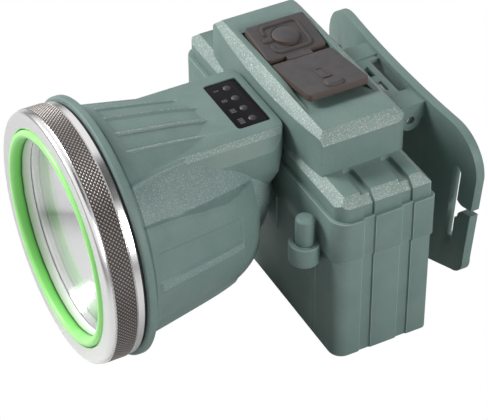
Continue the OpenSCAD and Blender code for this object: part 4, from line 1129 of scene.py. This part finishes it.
# Each side strap's slot leans a little, and a mouth opens from it through the wing's edge
slot_x, slot_top = half_w - 7.9, top_z - 12.3
slot_r, slot_h, slot_lean = 1.6, 27.5, 5
mouth_z, mouth_turn, mouth_half, mouth_r = -slot_h / 2 + 0.2, 16, 0.9, 3.2
mouth_end = 14            # beyond the wing's edge
slot_outline = arc((0, -slot_r), slot_r, 0, 180, 10)
slot_outline += arc((0, slot_r - slot_h), slot_r, 180, 360, 10)
mouth_outline = [(mouth_end, mouth_half)]
mouth_outline += arc((slot_r + mouth_r, mouth_half + mouth_r), mouth_r, 270, 180, 8)
mouth_outline += [(0, mouth_half + mouth_r)]
mouth_outline += [(x, -z) for x, z in reversed(mouth_outline)]
for side in (-1, 1):
    for outline in (slot_outline, swung(mouth_outline, mouth_turn, 0, mouth_z)):
        leaning = [(side * x, z) for x, z in swung(outline, -slot_lean, slot_x, slot_top)]
        cut(bracket, extruded("slot", leaning, "XZ", (plate_front - 2) * mm,
                              plate_high.y + 2 * mm))
# The plate is bent back towards its ends
half_turn = math.degrees(math.asin((half_w + 0.5) / plate_r))
bend_centre = (0, plate_back + plate_r)
bend = arc(bend_centre, plate_r + plate_t, -90 - half_turn, -90 + half_turn, 48)
bend += arc(bend_centre, plate_r, -90 + half_turn, -90 - half_turn, 48)
combine(bracket, extruded("bend", bend, "XY", plate_low.z - over, plate_high.z + over),
        "INTERSECT")
shelf_half, shelf_t = 15.5 * mm, 1.6 * mm
shelf_z = hinge_z + knuckle_r + 0.3 * mm
shelf_y = hinge_y - knuckle_r - 0.4 * mm
shelf_end = (plate_front + 1.2) * mm
land_half, land_t = 12 * mm, 0.3 * mm
weld(bracket, block("land", (-land_half, shelf_end, plate_low.z + 6 * mm),
                    (land_half, plate_back * mm + land_t, plate_high.z - 8 * mm)))
weld(bracket, block("shelf", (-shelf_half, shelf_y, shelf_z),
                    (shelf_half, shelf_end, shelf_z + shelf_t)))
cheek_in = 13.4 * mm
for side in (-1, 1):
    low_x, high_x = span(side, cheek_in, shelf_half)
    cheek = on_hinge("cheek", low_x, high_x, knuckle_r)
    weld(cheek, block("cheek_web", (low_x, hinge_y - knuckle_r, hinge_z),
                      (high_x, shelf_end, shelf_z + 0.5 * mm)))
    weld(bracket, cheek)


def cut_slot(name, x, y, half_x, half_y, corner, steps):
    """Cut an upright slot with round corners through the shelf; corner in mm."""
    tool = block(name, (x - half_x, y - half_y, shelf_z - over),
                 (x + half_x, y + half_y, shelf_z + 3 * mm))
    round_edges(tool, corner, steps, upright)
    cut(bracket, tool)


# The shelf is thinner between two steps, where the strap and the latch slots are
step_half = 9.6 * mm
step_z = shelf_z + shelf_t - 0.45 * mm
cut(bracket, block("panel", (-step_half, shelf_y - over, step_z),
                   (step_half, (plate_front - 0.05) * mm, step_z + 2 * mm)))
for side in (-1, 1):
    cut_slot("latch_slot", side * 3.65 * mm, shelf_y + 1.6 * mm, 2.4 * mm, 0.8 * mm, 0.3, 3)
cut_slot("top_slot", 0, plate_front * mm - 1.65 * mm, 8 * mm, 1.6 * mm, 0.6, 4)
cut(bracket, on_hinge("pin_bore", -20 * mm, 20 * mm, 1.27 * mm, 32))
soften(bracket, 0.4, 3, 35)
smooth(bracket, 30)
dress(bracket, fine_abs, edge_highlight_abs)
# The narrow strips along the edges are painted paler and shinier: a painted highlight
paint_edge_highlights(bracket, 1)
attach(bracket, "bracket")
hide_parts("bracket")


# ---- Rubber cover ----
# Brown-grey silicone: a pad with a moulded mark and a domed button, a strip that joins it to the
# flap, and the flap with its thick edge, pull nub and plug. It is pressed into the bed of the hump.

button_low, button_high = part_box("switch_button")
cover_half = (pad_high.y - pad_low.y) / 2 / mm
cover_t, cover_rise = 1.8, math.radians(9)
pad_len, flap_len = 13.9, 20.4
root_r = cover_t / 2      # the flap's root is round, and the flap turns about its middle
button_r = (button_high.x - button_low.x) / 2
button_x = (button_low.x + button_high.x) / 2
valley_z = cap_high.z - 0.3 * mm
pad_x = -5.5 * mm
hinge_line = Vector((flap_low.x + cover_t / 2 * mm, cover_y, valley_z - cover_t / 2 * mm))


def rounded(half_x, half_y, radius, y=0.0):
    """Outline in mm of a rectangle with round corners, its middle at y."""
    points = []
    for turn, (a, b) in enumerate(((1, 1), (-1, 1), (-1, -1), (1, -1))):
        corner = (a * (half_x - radius), b * (half_y - radius))
        points += arc(corner, radius, 90 * turn, 90 * turn + 90, 6)
    return [(a, b + y) for a, b in points]


def tilted(piece, angle, centre):
    """Turn a piece's mesh about an axis along Y through a point."""
    edit_all(piece)
    bpy.ops.transform.rotate(value=angle, orient_axis="Y", orient_type="GLOBAL",
                             center_override=centre)
    bpy.ops.object.mode_set(mode="OBJECT")


def laid(name, outline, middle_x, low, high):
    """An outline laid on the cover, its middle at an x in mm, between two heights (metres)."""
    return extruded(name, [(x + middle_x, y + cover_y / mm) for x, y in outline], "XY", low, high)


pad_foot_z = valley_z - cover_t * mm
mark_x = pad_x / mm - pad_len / 2
mark_low, mark_high = valley_z - 0.3 * mm, valley_z + 0.45 * mm
pad = laid("cover_pad", rounded(pad_len / 2, cover_half, 1.0), mark_x, pad_foot_z, valley_z)
round_edges(pad, 0.35, 3, on_top(valley_z))
mark = laid("mark", rounded(5.7, 5.9, 2.0), mark_x, mark_low, mark_high)
for name, outline in (("mark_room", rounded(4.7, 4.9, 1.2)),
                      ("mark_gap", rounded(1.9, 1.4, 0.3, y=-5.4))):
    cut(mark, laid(name, outline, mark_x, valley_z - over, valley_z + over))
weld(mark, laid("mark_bar", rounded(0.75, 1.5, 0.5, y=-5.5), mark_x, mark_low, mark_high))
soften(mark, 0.2, 2, 40)
weld(pad, mark)
tilted(pad, -cover_rise, Vector((pad_x, cover_y, valley_z)))
plinth_in = 1.6 * mm
weld(pad, block("plinth", (pad_low.x + 1.7 * mm, pad_low.y + plinth_in, pad_low.z),
                (pad_x - 0.5 * mm, pad_high.y - plinth_in, pad_foot_z + 0.5 * mm)))
# The strip ends in a hollow that lets the flap's round root turn
strip_half = 3.6 * mm
strip = block("strip", (pad_x - 1 * mm, cover_y - strip_half, pad_low.z),
              (hinge_line.x + 0.5 * mm, cover_y + strip_half, valley_z - 0.02 * mm))
cut(strip, rod("strip_end", (hinge_line.x, cover_y - 10 * mm, hinge_line.z),
               (hinge_line.x, cover_y + 10 * mm, hinge_line.z), (cover_t / 2 + 0.12) * mm, 48))
cut(strip, block("strip_trim", (hinge_line.x - 0.3 * mm, cover_y - 6 * mm, pad_low.z - over),
                 (hinge_line.x + 2 * mm, cover_y + 6 * mm, valley_z + over)))
weld(pad, strip)
cut(pad, peg("button_room", button_x, cover_y, pad_low.z - over, pad_high.z + over,
             button_r + 0.12 * mm, 64))
smooth(pad, 35)

rim_z = valley_z + pad_len / 2 * math.sin(cover_rise) * mm + 0.4 * mm
crown_h = button_high.z - rim_z
foot_z = button_low.z + 2.0 * mm
stem_r = 1.7 * mm
button = peg("button_dome", button_x, cover_y, foot_z, rim_z, button_r, 64)
weld(button, peg("stem", button_x, cover_y, button_low.z, foot_z + 0.2 * mm, stem_r))
weld(button, ball("crown", (button_x, cover_y, rim_z), button_r - 0.01 * mm, 64,
                  height=crown_h / button_r))
smooth(button, 35)

end_r = 0.4
flap_side = arc((0, 0), root_r, 90, 270, 12)
flap_side += [(flap_len - 0.2, -root_r), (flap_len, 0.2 - root_r)]
flap_side += arc((flap_len - end_r, root_r - end_r), end_r, 0, 90, 5)
root = hinge_line / mm
flap = extruded("cover_flap", [(root.x + x, root.z + z) for x, z in flap_side], "XZ",
                flap_low.y, flap_high.y)
combine(flap, laid("flap_plan", rounded((flap_len + root_r) / 2, cover_half, 1.4),
                   root.x + (flap_len - root_r) / 2, hinge_line.z - 3 * mm,
                   hinge_line.z + 3 * mm), "INTERSECT")
soften(flap, 0.3, 3, 40)
flap_top = hinge_line.z + root_r * mm
sunk = flap_top - 0.2 * mm           # the raised parts start inside the flap
nub_top = flap_top + 0.85 * mm
nub = laid("nub", rounded(1.9, 2.7, 1.6), root.x + flap_len - 3.2, sunk, nub_top)
round_edges(nub, 0.8, 6, on_top(nub_top))
plain_x = root.x + flap_len - 9.4
plain = laid("plain_outline", rounded(3.0, 1.5, 0.7), plain_x, sunk, flap_top + 0.3 * mm)
cut(plain, laid("outline_room", rounded(2.4, 0.9, 0.3), plain_x, flap_top - over,
                flap_top + over))
soften(plain, 0.12, 2, 40)
weld(flap, nub)
weld(flap, plain)
tilted(flap, cover_rise, hinge_line)
socket_low, socket_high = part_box("usb_socket")
plug_half_x, plug_half_y = 0.8 * mm, (socket_high.y - socket_low.y) / 2 - 1 * mm
plug_x = (socket_low.x + socket_high.x) / 2
plug_top = hinge_line.z + (plug_x - hinge_line.x) * math.tan(cover_rise)
plug = block("plug", (plug_x - plug_half_x, cover_y - plug_half_y, flap_low.z),
             (plug_x + plug_half_x, cover_y + plug_half_y, plug_top))
round_edges(plug, 0.4, 3, at_foot(flap_low.z))
weld(flap, plug)
smooth(flap, 35)

# Silicone with a fine matt skin; faces turned away from the top are painted a paler brown, a
# painted highlight
brown_rubber, tree, shader = material("Brown-grey silicone rubber", "#545050", 0.6)
place = node(tree, "ShaderNodeTexCoord").outputs
cloud = node(tree, "ShaderNodeTexNoise", {"Vector": place["Object"], "Scale": 1 / (3 * mm),
                                          "Detail": 4.0})
shade = node(tree, "ShaderNodeValToRGB", {"Fac": cloud}, stops=((0.35, "#4B494A"),
                                                               (0.7, "#545152")))
skin = node(tree, "ShaderNodeTexNoise", {"Vector": place["Object"], "Scale": 1 / (0.3 * mm)})
skin_bump = node(tree, "ShaderNodeBump", {"Height": skin, "Strength": 0.4, "Distance": 0.03 * mm})
facing = node(tree, "ShaderNodeSeparateXYZ", {"Vector": place["Normal"]}).outputs["Z"]
# Faces turned away from the top are painted a paler brown: a painted highlight
slope_highlight = node(tree, "ShaderNodeMapRange", {"Value": facing, "From Min": 0.93, "From Max": 0.4})
slope_lit_colour = node(tree, "ShaderNodeMix", {0: slope_highlight, 6: shade, 7: linear("#5F514B")},
            data_type="RGBA").outputs[2]
feed(shader, {"Base Color": slope_lit_colour, "Normal": skin_bump, "Specular IOR Level": 0.3})
for piece, body, name in ((pad, "lamp", "switch_pad"), (button, "button", "switch_button"),
                          (flap, "flap", "usb_flap")):
    dress(piece, brown_rubber)
    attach(piece, body)
    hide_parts(name)


# ---- Switch, socket and boards ----
# Bought parts below the cover: a tact switch with its plunger, a steel charging socket, the main
# board and the indicator's board with four diodes. They keep their construction meshes.

# Lacquered glass weave, glass-filled nylon, acetal, stamped steel and clear cast resin: each
# drifts a little in tone, and the glossier ones are the board, the steel and the resin
green_board = speckled("Green fibreglass board", "#1F4A2E", "#2B5B3A", 0.4, 1.0)
switch_plastic = speckled("Black glass-filled nylon", "#161718", "#1F2021", 0.5, 0.5)
white_acetal = speckled("White acetal", "#D9D7D0", "#E6E4DE", 0.4, 2.0)
stamped_steel = speckled("Stamped steel", "#A9ACAE", "#BFC2C3", 0.3, 0.8, metallic=1.0)
clear_epoxy = speckled("Clear epoxy over a diode", "#9A969E", "#A9A5AD", 0.25, 0.6)
dress_nodes(control_board=green_board, indicator_board=green_board, tact_switch=switch_plastic,
            switch_plunger=white_acetal, usb_socket=stamped_steel, indicator_leds=clear_epoxy)


# ---- Lock post ----
# Moulded ABS pin with a rounded top that slides up and down in the ring beside the lamp head. It
# has the same fine skin as the case.

post = peg("post_pin", post_x, post_y, post_low.z, post_high.z, post_r, 48)
round_edges(post, 0.9, 5, on_top(post_high.z))
round_edges(post, 0.5, 2, at_foot(post_low.z))
smooth(post, 35)
dress(post, fine_abs)
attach(post, "post")
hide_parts("lock_post")


# ---- Hinge pin, washers and screws ----
# Stainless pin pressed into the bracket's cheeks, two thin spring washers that give the hinge its
# friction, and cross-recessed steel screws. The screws below hold the case up against the band.

pin_r = (pin_high.z - pin_low.z) / 2
pin = on_hinge("hinge_rod", pin_low.x, pin_high.x, pin_r)
round_edges(pin, 0.35, 3, lambda a, b: all(abs(abs(end.x) - pin_high.x) < slack for end in (a, b)))
smooth(pin, 35)
# Polished stainless steel is the brightest, spring steel greyer, and zinc plating pale and duller
polished_steel = speckled("Polished stainless steel", "#C3C5C6", "#D2D4D5", 0.2, 1.0, metallic=1.0)
washer_steel = speckled("Spring steel", "#7C7F82", "#8E9194", 0.35, 1.0, metallic=1.0)
zinc_steel = speckled("Zinc-plated steel", "#A3A5A4", "#B7B9B7", 0.35, 0.7, metallic=1.0)
dress(pin, polished_steel)
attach(pin, "bracket")
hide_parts("hinge_pin")

dress_nodes(friction_washers=washer_steel, board_screws=zinc_steel, head_screws=zinc_steel)
screw_neck_z = case_low.z                # the heads stand below the case
shank_r = 1.2 * mm
recess_wide, recess_long, recess_deep = 0.35 * mm, 1.4 * mm, 0.8 * mm
case_screws = []
for x, y in screw_places:
    screw = peg("case_screw_set", x, y, screw_low.z, screw_neck_z, screw_head_r, 40)
    round_edges(screw, 0.4, 4, at_foot(screw_low.z))
    for wide, long in ((recess_wide, recess_long), (recess_long, recess_wide)):
        cut(screw, block("recess", (x - wide, y - long, screw_low.z - over),
                         (x + wide, y + long, screw_low.z + recess_deep)))
    weld(screw, peg("shank", x, y, screw_neck_z - 0.1 * mm, screw_high.z, shank_r))
    case_screws.append(screw)
screws = joined(case_screws)
smooth(screws, 35)
dress(screws, zinc_steel)
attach(screws, "lamp")
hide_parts("case_screws")


# ---- Cells and holder ----
# Two 18650 cells in a black tray with nickel tabs. All of it is inside the block.

# Dull black ABS, a shrunk sleeve with a soft sheen, and bright nickel with a warm tint
holder_plastic = speckled("Black ABS", "#18191A", "#212223", 0.5, 1.5)
cell_wrap = speckled("Blue shrink sleeve", "#27508F", "#2E5A9C", 0.35, 4.0)
nickel = speckled("Nickel strip", "#B5B2A8", "#C6C3B9", 0.3, 1.0, metallic=1.0)
dress_nodes(cell_holder=holder_plastic, cell_upper=cell_wrap, cell_lower=cell_wrap,
            cell_contacts=nickel)
